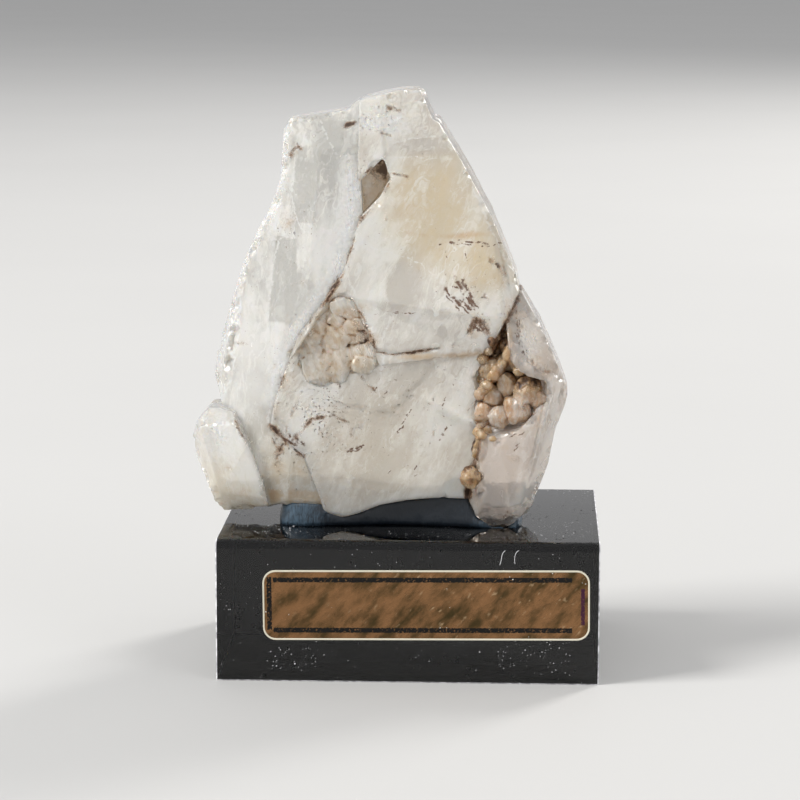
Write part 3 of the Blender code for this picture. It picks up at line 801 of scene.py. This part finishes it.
def rough_crystal(node, name, voxel, seed, share, size, depth, sound):
    """A crystal's solid as a finely skinned piece with chipped edges, and its points in mm."""
    piece = skin_of(node, name)
    swell(piece, CRYSTAL_GROWTH)
    places = convex_edge_places(piece, 0.9, math.radians(18))
    reskin(piece, voxel)
    points = get_points(piece)
    chip_edges(points, places, random.Random(seed), share, size, depth, sound)
    points[:, 2] = np.minimum(points[:, 2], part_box(node)[1][2] / MM + 0.05)
    return piece, points


def finish_crystal(piece, points, material, node):
    """Gives a crystal its sculpted points and its finish, and fixes it in place."""
    set_points(piece, points)
    take_up(piece)
    relax(1)
    bpy.ops.object.shade_smooth_by_angle(angle=math.radians(32))
    piece.data.materials.append(material)
    settle(piece, node)


def in_outline(points, corners, softness):
    """1 inside an outline drawn on the crystal, in (x, z), fading to 0 over a softness in mm."""
    flat = points[:, [0, 2]]
    inside = np.zeros(len(flat), dtype=bool)
    for (x1, z1), (x2, z2) in zip(corners, corners[1:] + corners[:1]):
        crosses = (z1 > flat[:, 1]) != (z2 > flat[:, 1])
        reach = x1 + (flat[:, 1] - z1) * (x2 - x1) / (z2 - z1 + 1e-9)
        inside ^= crosses & (flat[:, 0] < reach)
    away = distance_to_line(flat, corners + corners[:1])
    return np.clip(0.5 + np.where(inside, away, -away) / softness, 0, 1)


# A crack or thread of stain: a hair-thin broken line between two points on a front face, in mm.
thread, given, result = group_tree(
    "broken_thread", {"From": (0.0, 0.0, 0.0), "To": (1.0, 0.0, 0.0), "Width": 0.15}, {"Mask": "Float"}
)
place = place_on(thread)
grain = noise(thread, {"Vector": place, "Scale": 2200.0, "Detail": 2.0})
drift = shader_node(thread, "TexNoise", {"Vector": place, "Scale": 900.0, "Detail": 3.0}).outputs["Color"]
flat_place = shader_node(thread, "VectorMath", {0: place, 1: (1000.0, 50.0, 1000.0)}, operation="MULTIPLY")
drift = shader_node(thread, "VectorMath", {0: drift, 1: (0.5,) * 3}, operation="SUBTRACT").outputs[0]
here = shader_node(thread, "VectorMath", {0: drift, 1: (1.0,) * 3, 2: flat_place.outputs[0]})
here.operation = "MULTIPLY_ADD"
to_here = shader_node(thread, "VectorMath", {0: here.outputs[0], 1: given["From"]}, operation="SUBTRACT")
run = shader_node(thread, "VectorMath", {0: given["To"], 1: given["From"]}, operation="SUBTRACT").outputs[0]
reached = shader_node(thread, "VectorMath", {0: to_here.outputs[0], 1: run}, operation="DOT_PRODUCT")
length = shader_node(thread, "VectorMath", {0: run, 1: run}, operation="DOT_PRODUCT").outputs["Value"]
share = calculate(thread, "DIVIDE", reached.outputs["Value"], length)
share = shader_node(thread, "Clamp", {"Value": share}).outputs[0]
on_line = shader_node(thread, "VectorMath", {0: run}, operation="SCALE")
thread.links.new(share, on_line.inputs["Scale"])
off = shader_node(thread, "VectorMath", {0: to_here.outputs[0], 1: on_line.outputs[0]}, operation="DISTANCE")
width = times(thread, given["Width"], ramp(thread, grain, 0.26, 0.60))
width = calculate(thread, "ADD", width, 0.001)
near = calculate(thread, "SUBTRACT", 1.0, calculate(thread, "DIVIDE", off.outputs["Value"], width))
thread.links.new(ramp(thread, near, 0.0, 0.8), result["Mask"])


def add_threads(material, threads, face_y, colour, strength):
    """Draws broken threads of one colour over what a material already shows."""
    tree = material.node_tree
    shader = tree.nodes["Principled BSDF"]
    under = shader.inputs["Base Color"].links[0].from_socket
    drawn = 0.0
    for x1, z1, x2, z2, width in threads:
        ends = {"From": (x1, face_y * 0.05, z1), "To": (x2, face_y * 0.05, z2), "Width": width}
        drawn = larger(tree, use_group(tree, thread, ends)["Mask"], drawn)
    over = blend_colour(tree, times(tree, drawn, strength), under, colour)
    feed(shader, "Base Color", over)


def scatter_threads(families, seed):
    """Broken strokes in families: where each lies, how far it spreads, its lean, number and size."""
    chance = random.Random(seed)
    threads = []
    for x, z, spread_x, spread_z, lean, count, length, width in families:
        for _ in range(count):
            mid_x = x + chance.uniform(-spread_x, spread_x)
            mid_z = z + chance.uniform(-spread_z, spread_z)
            angle = math.radians(lean + chance.gauss(0, 9))
            half = length * chance.uniform(0.35, 0.65)
            reach_x, reach_z = half * math.cos(angle), half * math.sin(angle)
            thick = width * chance.uniform(0.7, 1.3)
            threads.append((mid_x - reach_x, mid_z - reach_z, mid_x + reach_x, mid_z + reach_z, thick))
    return threads


# Threads of iron oxide on the front face: x, z, spread in x and z, lean in degrees, how many, length
# and width; all in mm but the lean and the number.
BLADE_FACE_Y = -9.4
IRON_FAMILIES = [
    (8.0, 57.5, 3.0, 0.3, 3, 4, 3.0, 0.22), (6.2, 50.3, 2.0, 1.2, -42, 11, 2.8, 0.34),
    (8.6, 47.0, 0.8, 0.8, -50, 5, 1.8, 0.36), (5.0, 55.8, 2.4, 0.9, -80, 3, 1.0, 0.12),
    (-1.0, 48.2, 2.4, 0.2, 6, 2, 3.0, 0.14), (0.0, 34.0, 1.4, 1.8, 62, 3, 1.6, 0.14),
    (4.2, 32.4, 0.4, 0.8, 68, 3, 1.5, 0.22), (3.6, 36.6, 1.2, 0.9, 60, 3, 0.8, 0.14),
    (-4.4, 38.0, 2.0, 1.0, 48, 3, 0.9, 0.14), (-1.6, 26.6, 2.8, 0.4, 62, 3, 0.9, 0.14),
    (-7.6, 29.6, 0.5, 0.3, 18, 2, 1.6, 0.24), (-15.2, 30.0, 1.2, 1.0, -38, 4, 1.8, 0.45),
]


WHITE_CRACKS = [
    (-3.6, 42.7, -4.2, 38.3, 0.30), (-4.2, 38.3, -4.3, 35.6, 0.16), (6.9, 40.0, 6.9, 35.0, 0.22),
    (-2.3, 70.9, 4.3, 72.1, 0.20), (-5.1, 69.1, 5.3, 68.8, 0.12), (-2.6, 47.9, -3.8, 44.7, 0.40),
    (1.2, 49.3, 0.3, 45.8, 0.34), (-8.5, 53.4, -6.6, 48.4, 0.24), (-5.4, 57.0, 0.5, 55.3, 0.16),
    (0.5, 55.3, 5.4, 51.8, 0.20), (-14.6, 28.8, -11.0, 20.0, 0.22), (8.2, 65.0, 12.4, 55.6, 0.30),
]
BEIGE = (0.80, 0.69, 0.50)
IRON_BROWN, CRACK_WHITE = (0.12, 0.038, 0.010, 1.0), (0.98, 0.97, 0.95, 1.0)


blade, points = rough_crystal(
    "main_blade", "main_blade_crystal", BLADE_VOXEL, 11, 0.7, 0.7, 0.18,
    [SEAM_OF_BLADES, SEAM_OF_PRISM, FOOT_ARCH],
)
front = np.clip((-5.0 - points[:, 1]) / 1.5, 0, 1)

crack = near_line(points, LIP_OF_UPPER_PLATE[:4], 0.25) * front
points[:, 1] += 0.35 * crack

def seam_rust():
    """Iron along the seam of the two blades: hardly any above, dots at its bend, more below."""
    trace = 0.58 * near_line(points, SEAM_OF_BLADES[2:4], 0.35)
    trace = np.maximum(trace, 0.78 * near_line(points, SEAM_OF_BLADES[3:6], 0.45))
    trace = np.maximum(trace, 0.45 * near_line(points, SEAM_OF_BLADES[5:9], 0.30))
    return np.maximum(trace, 0.85 * near_line(points, SEAM_OF_BLADES[8:11], 0.60))


rust = seam_rust()
# Rust along the seams, rims and pit. The strongest line, along the upper plate's lip, is painted shadow: the
# dark line in the shade under that step.
for line, strength, width in (
    (SEAM_OF_PRISM[:4], 0.80, 0.55), (SEAM_OF_PRISM[3:], 0.55, 0.45), (INNER_SEAM, 0.62, 0.35),
    (LIP_OF_UPPER_PLATE[:4], 1.00, 0.30), (LIP_OF_UPPER_PLATE[2:], 0.45, 0.45), (HOLLOW_RIM, 0.72, 0.45),
    ([(-13.3, 33.6), (-10.5, 34.3), (-8.4, 33.2), (-7.9, 31.4)], 0.80, 0.55),
    ([(-15.6, 31.0), (-13.3, 33.6)], 0.80, 0.60), (PIT_RIM, 0.58, 0.40),
    ([(-2.6, 66.8), (-0.6, 66.4)], 0.95, 0.40), ([(7.9, 46.2), (8.9, 47.6), (10.4, 45.6)], 0.75, 0.80),
    ([(10.6, 55.3), (12.0, 54.6), (12.7, 53.6)], 0.85, 0.60), ([(-3.5, 61.9), (-3.3, 60.6)], 0.80, 0.35),
    ([(-3.0, 75.5), (-1.5, 75.2)], 0.85, 0.45), ([(-3.8, 72.1), (-2.8, 71.9)], 0.80, 0.40),
    ([(9.8, 50.8), (10.2, 50.0)], 0.75, 0.45), ([(-9.7, 38.8), (-9.5, 37.6)], 0.72, 0.40),
    ([(-6.6, 39.4), (-5.0, 37.8)], 0.70, 0.35), ([(3.4, 33.2), (3.0, 31.4)], 0.62, 0.35),
    ([(7.6, 23.0), (7.9, 26.5)], 1.00, 0.50),
):
    rust = np.maximum(rust, strength * near_line(points, line, width) * front)
for x, z, half_x, half_z, strength in (
    (-5.8, 44.6, 1.5, 1.6, 0.62), (-12.2, 47.4, 1.0, 1.6, 0.55), (-17.4, 29.8, 1.2, 1.8, 0.85),
    (-7.4, 46.9, 1.2, 0.9, 0.50), (-9.6, 31.4, 1.6, 0.9, 0.45), (-12.6, 35.6, 3.4, 2.2, 0.36),
):
    rust = np.maximum(rust, strength * near_spot(points, x, z, half_x, half_z) * front)
in_pit = in_outline(points, PIT_RIM[:-1], 0.5) * np.clip((points[:, 1] + 8.9) / 0.8, 0, 1)
in_pit *= np.clip((-4.0 - points[:, 1]) / 1.0, 0, 1)
rust = np.maximum(rust, in_pit * (0.34 + 1.0 * near_spot(points, -3.2, 67.6, 1.8, 2.0)))
honey = 0.25 * near_line(points, SEAM_OF_BLADES[3:], 1.2) + 1.0 * in_pit
honey += 0.80 * near_spot(points, -9.5, 45.0, 4.6, 4.6) * front
honey += 0.6 * near_line(points, SEAM_OF_PRISM, 1.3) + 0.8 * near_line(points, OCHRE_UNDER_LIP, 0.6) * front
honey += 0.6 * near_line(points, [(-0.6, 59.0), (2.5, 58.4), (10.9, 58.9)], 0.5) * front
honey += 0.3 * near_line(points, [(-0.4, 62.4), (4.5, 62.9)], 0.5) * front
honey += spots(points, (0.5, 11.8, 54.3, 1.5, 1.6), (0.5, 9.0, 46.4, 1.5, 1.5)) * front
honey += 0.45 * near_spot(points, -9.2, 31.4, 2.0, 0.9) * front
specks = 0.10 + spots(points, (0.35, -4.0, 34.0, 13.0, 8.0), (0.55, -12.0, 34.5, 3.4, 4.5))
specks += 0.45 * near_spot(points, -3.5, 74.0, 4.0, 2.0) + 0.5 * near_line(points, SEAM_OF_BLADES, 0.8)
specks += 0.35 * near_spot(points, 9.0, 52.0, 3.5, 5.0) + 0.5 * near_line(points, SEAM_OF_PRISM, 1.2)
warmth = 1.0 * in_outline(points, BEIGE_BODY, 4.0) + 0.30 * near_spot(points, -3.0, 29.0, 17.0, 9.0)
clear = 0.8 * in_outline(points, [(-3.6, 55.0), (-1.0, 55.4), (0.2, 49.8), (-2.6, 48.6)], 0.7)
clear += 0.55 * in_outline(points, [(-2.3, 70.9), (4.3, 72.1), (5.6, 69.0), (-3.6, 69.2)], 0.3)
clear += spots(points, (0.45, -6.2, 35.2, 3.2, 2.6), (0.5, -8.2, 52.0, 1.4, 2.2))
clear *= front
milk = 1.2 * in_pit + spots(points, (0.8, -3.0, 74.0, 5.0, 2.4), (0.55, 1.5, 46.5, 6.0, 2.8))
milk += spots(points, (0.6, -11.5, 37.5, 2.2, 2.4), (0.5, -5.2, 57.5, 1.6, 3.5))
frost = 0.6 * near_spot(points, -3.8, 73.6, 3.0, 1.2)
paint(blade, rust=rust, honey=honey, specks=specks, warmth=warmth, clear=clear, frost=frost, milk=milk)
set_points(blade, points)
whole_slab = in_outline(points, LOWER_SLAB_FACE, 0.1) * (points[:, 1] < -7.0)
blade.data.vertices.foreach_set("select", whole_slab > 0.5)
take_up(blade)
bpy.ops.object.mode_set(mode="EDIT")
bpy.ops.mesh.vertices_smooth(factor=0.5, repeat=60, xaxis=False, zaxis=False)
bpy.ops.object.mode_set(mode="OBJECT")
points = get_points(blade)
blade_gypsum = gypsum(
    "main_blade_gypsum", (0.97, 0.94, 0.885), (0.68, 0.645, 0.585), BEIGE, lean=-24.0, see_through=0.5
)
add_threads(blade_gypsum, WHITE_CRACKS, BLADE_FACE_Y, CRACK_WHITE, 0.6)
add_threads(blade_gypsum, scatter_threads(IRON_FAMILIES, 3), BLADE_FACE_Y, IRON_BROWN, 0.95)
finish_crystal(blade, points, blade_gypsum, "main_blade")


# ---------------------------------------------------------------------------------------------
# Left blade. The second broad crystal, bluish-white, with a crushed bright ridge along the seam, a
# ragged outer edge, and a grey clear window where no cleavage inside throws the light back.
STUB_SEAM = [(-26.9, 34.6), (-23.9, 33.9), (-21.9, 30.1), (-20.1, 25.3), (-19.2, 21.6)]
FOOT_WEDGE = [(-19.3, 24.0), (-12.5, 23.9), (-10.8, 19.6), (-13.2, 20.0), (-18.9, 21.3)]
OUTER_EDGE = [
    (-27.0, 40.0), (-24.4, 49.4), (-22.7, 54.5), (-20.5, 59.1), (-18.9, 61.8), (-17.4, 66.0), (-17.0, 73.0),
]
CLEAR_WINDOW = [(-18.1, 58.1), (-15.4, 57.8), (-15.3, 51.1), (-16.2, 46.5), (-19.3, 46.5)]
UPPER_WINDOW = [(-15.6, 68.6), (-12.2, 67.6), (-12.8, 59.8), (-15.3, 60.3), (-16.1, 64.1)]
left, points = rough_crystal(
    "left_blade", "left_blade_crystal", BLADE_VOXEL, 23, 0.9, 0.8, 0.24, [SEAM_OF_BLADES, STUB_SEAM]
)
front = np.clip((-1.0 - points[:, 1]) / 2.0, 0, 1)
beside_seam = [(x - 1.3, z) for x, z in SEAM_OF_BLADES[1:8]]
ridge = near_line(points, beside_seam, 1.1)
points[:, 1] -= 0.35 * near_line(points, SEAM_OF_BLADES[3:8], 1.2) * front
points[:, 1] -= 1.5 * near_spot(points, -20.5, 28.0, 4.2, 7.0) * front
ragged = near_line(points, OUTER_EDGE, 0.9)
frost = np.maximum(0.55 * ridge, 0.8 * ragged)
frost = np.maximum(frost, 0.35 * near_spot(points, -22.0, 38.0, 4.0, 3.5))
clear = 0.9 * in_outline(points, CLEAR_WINDOW, 0.3)
clear += 0.7 * in_outline(points, [(-12.3, 73.5), (-8.4, 73.6), (-9.8, 68.7)], 0.3)
clear += 0.5 * in_outline(points, UPPER_WINDOW, 0.4)
clear += spots(points, (0.4, -22.0, 39.0, 3.6, 3.0), (0.5, -19.4, 33.0, 2.6, 2.2))
milk = spots(points, (0.9, -12.0, 57.5, 3.4, 3.6), (0.7, -17.6, 39.0, 1.2, 4.0))
milk += spots(points, (0.7, -14.8, 72.0, 2.2, 2.2), (0.5, -23.0, 50.0, 1.6, 5.0))
clear += spots(points, (0.45, -20.5, 36.0, 1.6, 4.0), (0.35, -16.8, 27.0, 2.4, 2.0))
clear *= front
rust = seam_rust()
for line, strength, width in (
    ([(-25.6, 43.6), (-20.2, 43.2), (-15.0, 44.3)], 0.42, 0.45), (STUB_SEAM[1:], 0.50, 0.30),
    ([(-16.1, 69.1), (-15.4, 70.3), (-14.7, 69.8)], 0.92, 0.50), ([(-8.6, 73.0), (-7.6, 73.3)], 0.90, 0.45),
    ([(-19.6, 29.9), (-23.1, 30.4)], 0.50, 0.30), ([(-19.3, 24.0), (-12.5, 23.9)], 0.45, 0.30),
):
    rust = np.maximum(rust, strength * near_line(points, line, width))
rust = np.maximum(rust, 0.95 * near_spot(points, -17.8, 29.6, 1.5, 1.7))
honey = 0.30 * near_spot(points, -15.5, 25.5, 5.0, 4.5)
honey += 0.45 * in_outline(points, FOOT_WEDGE, 0.3)
honey += 0.9 * near_spot(points, -18.4, 23.0, 0.6, 0.6) + 0.2 * near_line(points, SEAM_OF_BLADES[5:], 1.0)
honey += spots(points, (0.30, -17.0, 60.5, 1.5, 1.8), (0.5, -15.4, 69.5, 0.8, 0.8))
specks = 0.12 + 0.3 * near_line(points, SEAM_OF_BLADES, 0.8) + 0.8 * near_spot(points, -16.0, 30.0, 2.6, 2.2)
specks += 0.35 * near_spot(points, -15.5, 59.0, 3.0, 1.5)
warmth = 0.45 * near_spot(points, -17.0, 26.0, 7.0, 6.0)
paint(left, rust=rust, honey=honey, specks=specks, warmth=warmth, clear=clear, frost=frost, milk=milk)
left_gypsum = gypsum(
    "left_blade_gypsum", (0.96, 0.945, 0.91), (0.62, 0.615, 0.58), BEIGE, lean=-8.0, see_through=0.5
)
LEFT_FACE_Y = -8.0
LEFT_CRACKS = [
    (-12.3, 73.5, -9.8, 68.7, 0.30), (-15.6, 68.6, -16.1, 64.1, 0.30), (-16.1, 64.1, -15.3, 60.3, 0.24),
    (-15.3, 60.3, -13.9, 58.2, 0.20), (-17.7, 58.1, -18.6, 54.6, 0.26), (-18.6, 54.6, -19.3, 47.6, 0.26),
    (-14.9, 46.2, -17.4, 41.9, 0.50), (-17.4, 41.9, -18.5, 39.4, 0.60), (-18.5, 39.4, -19.2, 33.0, 0.40),
    (-16.5, 58.0, -19.0, 57.6, 0.20),
]
add_threads(left_gypsum, LEFT_CRACKS, LEFT_FACE_Y, CRACK_WHITE, 0.6)
finish_crystal(left, points, left_gypsum, "left_blade")


# ---------------------------------------------------------------------------------------------
# Right-hand prism. A clearer, rounder crystal that carries the weight on its tip; its cap is a
# cleavage with a painted highlight on it, and a rust-lined pocket is sunk where it meets the blade.
prism, points = rough_crystal(
    "right_prism", "right_prism_crystal", 0.24, 37, 0.55, 0.8, 0.16, [SEAM_OF_PRISM]
)
in_pocket = near_spot(points, 12.0, 40.0, 4.2, 6.2) * np.clip((points[:, 1] + 11.6) / 0.8, 0, 1)
in_pocket *= np.clip((-2.0 - points[:, 1]) / 2.0, 0, 1)
rust = 0.9 * near_line(points, SEAM_OF_PRISM, 0.55)
rust = np.maximum(rust, 1.15 * in_pocket)
rust = np.maximum(rust, 0.6 * near_line(points, [(14.0, 43.2), (18.6, 40.6)], 0.5))
honey = 0.9 * near_spot(points, 13.0, 38.5, 5.0, 5.0) + 0.5 * near_line(points, SEAM_OF_PRISM, 1.8)
specks = 0.12 * near_spot(points, 13.0, 31.0, 5.0, 5.0)
# A painted highlight: the upper front of the cap is whitened, in the frost channel, where the light catches
# it.
frost = 0.8 * near_spot(points, 16.0, 44.0, 1.8, 3.8) * np.clip((-6.0 - points[:, 1]) / 2, 0, 1)
clear = spots(points, (0.9, 12.0, 25.5, 2.4, 3.2), (0.5, 14.5, 33.0, 2.6, 3.4))
milk = 0.6 * near_spot(points, 16.0, 24.0, 2.0, 4.0)
warmth = 0.55 * near_spot(points, 14.0, 30.0, 6.0, 10.0)
paint(prism, rust=rust, honey=honey, specks=specks, warmth=warmth, clear=clear, frost=frost, milk=milk)
prism_gypsum = gypsum(
    "right_prism_gypsum", (0.93, 0.88, 0.83), (0.58, 0.53, 0.49), (0.84, 0.74, 0.66),
    lean=-12.0, see_through=0.6,
)
PRISM_FACE_Y = -12.0
PRISM_FAMILIES = [
    (13.8, 35.8, 0.5, 0.3, -48, 2, 2.4, 0.26), (14.4, 32.0, 1.6, 1.6, 30, 5, 0.8, 0.18),
    (12.6, 21.2, 0.4, 0.6, 85, 2, 1.2, 0.26), (14.6, 46.0, 0.6, 2.2, -72, 4, 2.6, 0.20),
]
deepen(prism_gypsum)
add_threads(prism_gypsum, scatter_threads(PRISM_FAMILIES, 4), PRISM_FACE_Y, IRON_BROWN, 0.95)
finish_crystal(prism, points, prism_gypsum, "right_prism")


# ---------------------------------------------------------------------------------------------
# Lower-left prism. A stubby frosted crystal grown out of the left blade's foot, white at its head
# and honey-clear at its foot, with a thin rusty line where the two meet.
stub, points = rough_crystal("lower_left_prism", "lower_left_crystal", 0.24, 41, 0.9, 0.8, 0.2, [STUB_SEAM])
rust = 0.60 * near_line(points, STUB_SEAM[1:], 0.35)
rust = np.maximum(rust, 0.5 * near_spot(points, -21.5, 21.8, 3.0, 0.7))
honey = 0.45 * near_spot(points, -21.5, 22.0, 4.0, 2.4)
specks = 0.12 * near_spot(points, -23.0, 23.0, 4.0, 3.0)
frost = 0.6 * near_spot(points, -26.5, 31.5, 3.4, 3.6)
warmth = 0.55 * near_spot(points, -22.5, 23.5, 4.5, 4.5)
milk = 0.8 * near_spot(points, -25.5, 30.5, 4.0, 4.0)
paint(stub, rust=rust, honey=honey, specks=specks, warmth=warmth, clear=0 * rust, frost=frost, milk=milk)
stub_gypsum = gypsum(
    "lower_left_gypsum", (0.95, 0.93, 0.89), (0.68, 0.64, 0.56), (0.84, 0.74, 0.54),
    lean=20.0, see_through=0.5,
)
finish_crystal(stub, points, stub_gypsum, "lower_left_prism")


# ---------------------------------------------------------------------------------------------
# Druse crystals. Small blocky gypsum crystals that line the pocket, honey-coloured and partly
# see-through under a thin coat of rust; their edges are dissolved a little round.
ROUNDED = 0.42
AMBER = (0.7, 0.5, 0.3)
PALE_BELOW, AMBER_ABOVE, SEAM_KNOB_TOP = 36.0, 41.0, 33.0
druse_finish = gypsum(
    "druse_gypsum", (0.92, 0.80, 0.71), (0.74, 0.48, 0.29), AMBER, 0.0, 0.35, see_through=0.5
)
deepen(druse_finish)


def stain_druse(piece, points, roots):
    """Stains druse amber towards the top of the pocket, and brown where it is rooted; for the lining, the
    roots are its joints and its depth in the pocket, so there the brown is partly painted shade.
    """
    amber = np.clip((points[:, 2] - PALE_BELOW) / (AMBER_ABOVE - PALE_BELOW), 0, 1)
    amber = np.maximum(amber, 0.8 * (points[:, 2] < SEAM_KNOB_TOP))
    dark_top = np.clip((points[:, 2] - AMBER_ABOVE) / 4.0, 0, 1)
    rust = 0.72 * roots + 0.34 * amber + 0.45 * dark_top
    paint(piece, rust=rust, honey=0.15 + 1.0 * amber + 0.6 * roots, specks=0.3 + 0 * amber)


for node in sorted(name for name in frame["nodes"] if name.startswith("druse_crystal_")):
    druse = skin_of(node, node.replace("druse_crystal", "druse"))
    swell(druse, 0.26)
    reskin(druse, 0.13)
    points = get_points(druse)
    middle = (points.min(axis=0) + points.max(axis=0)) / 2
    outward = points - middle
    reach = np.linalg.norm(outward, axis=1, keepdims=True)
    half = np.sort(np.ptp(points, axis=0))[1] * 0.55
    points = middle + outward * (1 - ROUNDED + ROUNDED * half / reach)
    points += 0.09 * np.sin(points[:, [1, 2, 0]] * 3.7 + middle) + 0.05 * np.sin(points[:, [2, 0, 1]] * 7.9)
    roots = np.clip((points[:, 1] - points[:, 1].min() - 0.35) / 1.5, 0, 1)
    stain_druse(druse, points, roots)
    finish_crystal(druse, points, druse_finish, node)


# ---------------------------------------------------------------------------------------------
# Druse lining. Grains of gypsum about a millimetre across that carpet the pocket between the bigger
# druse crystals and run down the prism's seam; each grew rooted in the pocket's wall.
def grow_grains(name, walls, inside, count, sizes, sink, roundness, seed):
    """Grains rooted where a test on points in mm holds on some walls, joined as one piece."""
    roots = []
    for wall in walls:
        points = get_points(wall)
        for index in np.flatnonzero(inside(points)):
            roots.append((Vector(points[index] * MM), wall.data.vertices[index].normal.copy()))
    bpy.ops.object.select_all(action="DESELECT")
    bpy.ops.mesh.primitive_cube_add(size=1.6 * MM)
    first = bpy.context.object
    bpy.ops.object.mode_set(mode="EDIT")
    bpy.ops.mesh.subdivide(number_cuts=1)
    bpy.ops.transform.tosphere(value=roundness, center_override=(0.0, 0.0, 0.0))
    bpy.ops.object.mode_set(mode="OBJECT")
    chance = random.Random(seed)
    bpy.ops.object.select_all(action="DESELECT")
    for _ in range(count):
        spot, facing = chance.choice(roots)
        size = chance.uniform(*sizes)
        turn = [chance.uniform(0, math.tau) for _ in range(3)]
        scale = [size * chance.uniform(0.75, 1.2) for _ in range(3)]
        grain = strew(first, name, spot - facing * size * sink * MM, turn, scale)
    bpy.data.objects.remove(first)
    bpy.context.view_layer.objects.active = grain
    bpy.ops.object.join()
    bpy.ops.object.transform_apply(location=True, rotation=True, scale=True)
    grain.name = name
    reskin(grain, 0.13)
    relax(1)
    bpy.ops.object.shade_smooth_by_angle(angle=math.radians(40))
    return grain, get_points(grain)


def joints_between(piece, points, rounds, deep):
    """0 on the open faces of grown-together grains, 1 in their joints, which are deep mm or more."""
    ends = np.empty(len(piece.data.edges) * 2, dtype=int)
    piece.data.edges.foreach_get("vertices", ends)
    one, other = ends.reshape(-1, 2).T
    count = np.bincount(ends, minlength=len(points))
    blurred = points.copy()
    for _ in range(rounds):
        total = np.empty_like(blurred)
        for axis, place in enumerate(blurred.T):
            total[:, axis] = np.bincount(one, place[other], len(points))
            total[:, axis] += np.bincount(other, place[one], len(points))
        blurred = total / count[:, None]
    normals = np.empty(len(points) * 3)
    piece.data.vertex_normals.foreach_get("vector", normals)
    under = ((blurred - points) * normals.reshape(-1, 3)).sum(axis=1)
    return np.clip(under / deep, 0, 1)


def in_pocket_mouth(points):
    """The pocket and the strip of grains that runs down from it along the prism's seam."""
    x, y, z = points.T
    pocket = (((x - 12.8) / 3.5) ** 2 + ((z - 39.6) / 6.2) ** 2 < 1) & (y > -12.0) & (y < -4.0)
    strip = (abs(x - 10.4) < 1.2) & (z > 31.5) & (z < 38.0) & (y < -8.0)
    return pocket | strip


lining, points = grow_grains(
    "druse_lining", (prism, blade), in_pocket_mouth, 260, (0.35, 0.85), sink=0.15, roundness=0.75, seed=5
)
# The lining is painted browner in its joints and the deeper it sits in the pocket: iron, and painted shade.
sunk = 0.4 * np.clip((points[:, 1] + 11.0) / 4.0, 0, 1)
stain_druse(lining, points, np.clip(joints_between(lining, points, 6, 0.06) + sunk, 0, 1))
lining.data.materials.append(druse_finish)
settle(lining, None)


# ---------------------------------------------------------------------------------------------
# Hollow grains. Etched, half-dissolved grains of gypsum that stand in the shallow hollow of the main
# blade, clear inside and lined with honey and brown iron where they meet, and painted darker there as
# shade.
def in_etched_hollow(points):
    y = points[:, 1]
    return (in_outline(points, HOLLOW_OUTLINE, 0.4) > 0.8) & (y > -9.0) & (y < -6.5)


hollow_grains, points = grow_grains(
    "hollow_grains", (blade,), in_etched_hollow, 85, (0.7, 1.9), sink=-0.45, roundness=0.65, seed=9
)
# Joints between the grains are painted honey and brown, more the deeper the joint: iron that sits in them,
# and painted shade.
joints = joints_between(hollow_grains, points, 6, 0.07)
face = BLADE_FACE_Y + 0.30 + 0.35 * np.abs(np.sin(points[:, 0] * 2.1 + points[:, 2] * 1.3))
points[:, 1] = np.maximum(points[:, 1], face + 0.45 * (points[:, 1] - face))
set_points(hollow_grains, points)
paint(
    hollow_grains,
    rust=0.80 * joints + spots(points, (0.60, -5.6, 44.8, 1.6, 2.2), (0.2, -9.0, 47.5, 3.0, 2.5)),
    honey=0.30 + 0.5 * joints + 0.3 * near_spot(points, -8.0, 46.0, 4.0, 4.0),
    specks=0.15 + 0 * joints,
)
hollow_grains.data.materials.append(
    gypsum("hollow_gypsum", (0.92, 0.87, 0.80), (0.74, 0.65, 0.53), AMBER, 0.0, 0.5, see_through=0.4)
)
settle(hollow_grains, None)
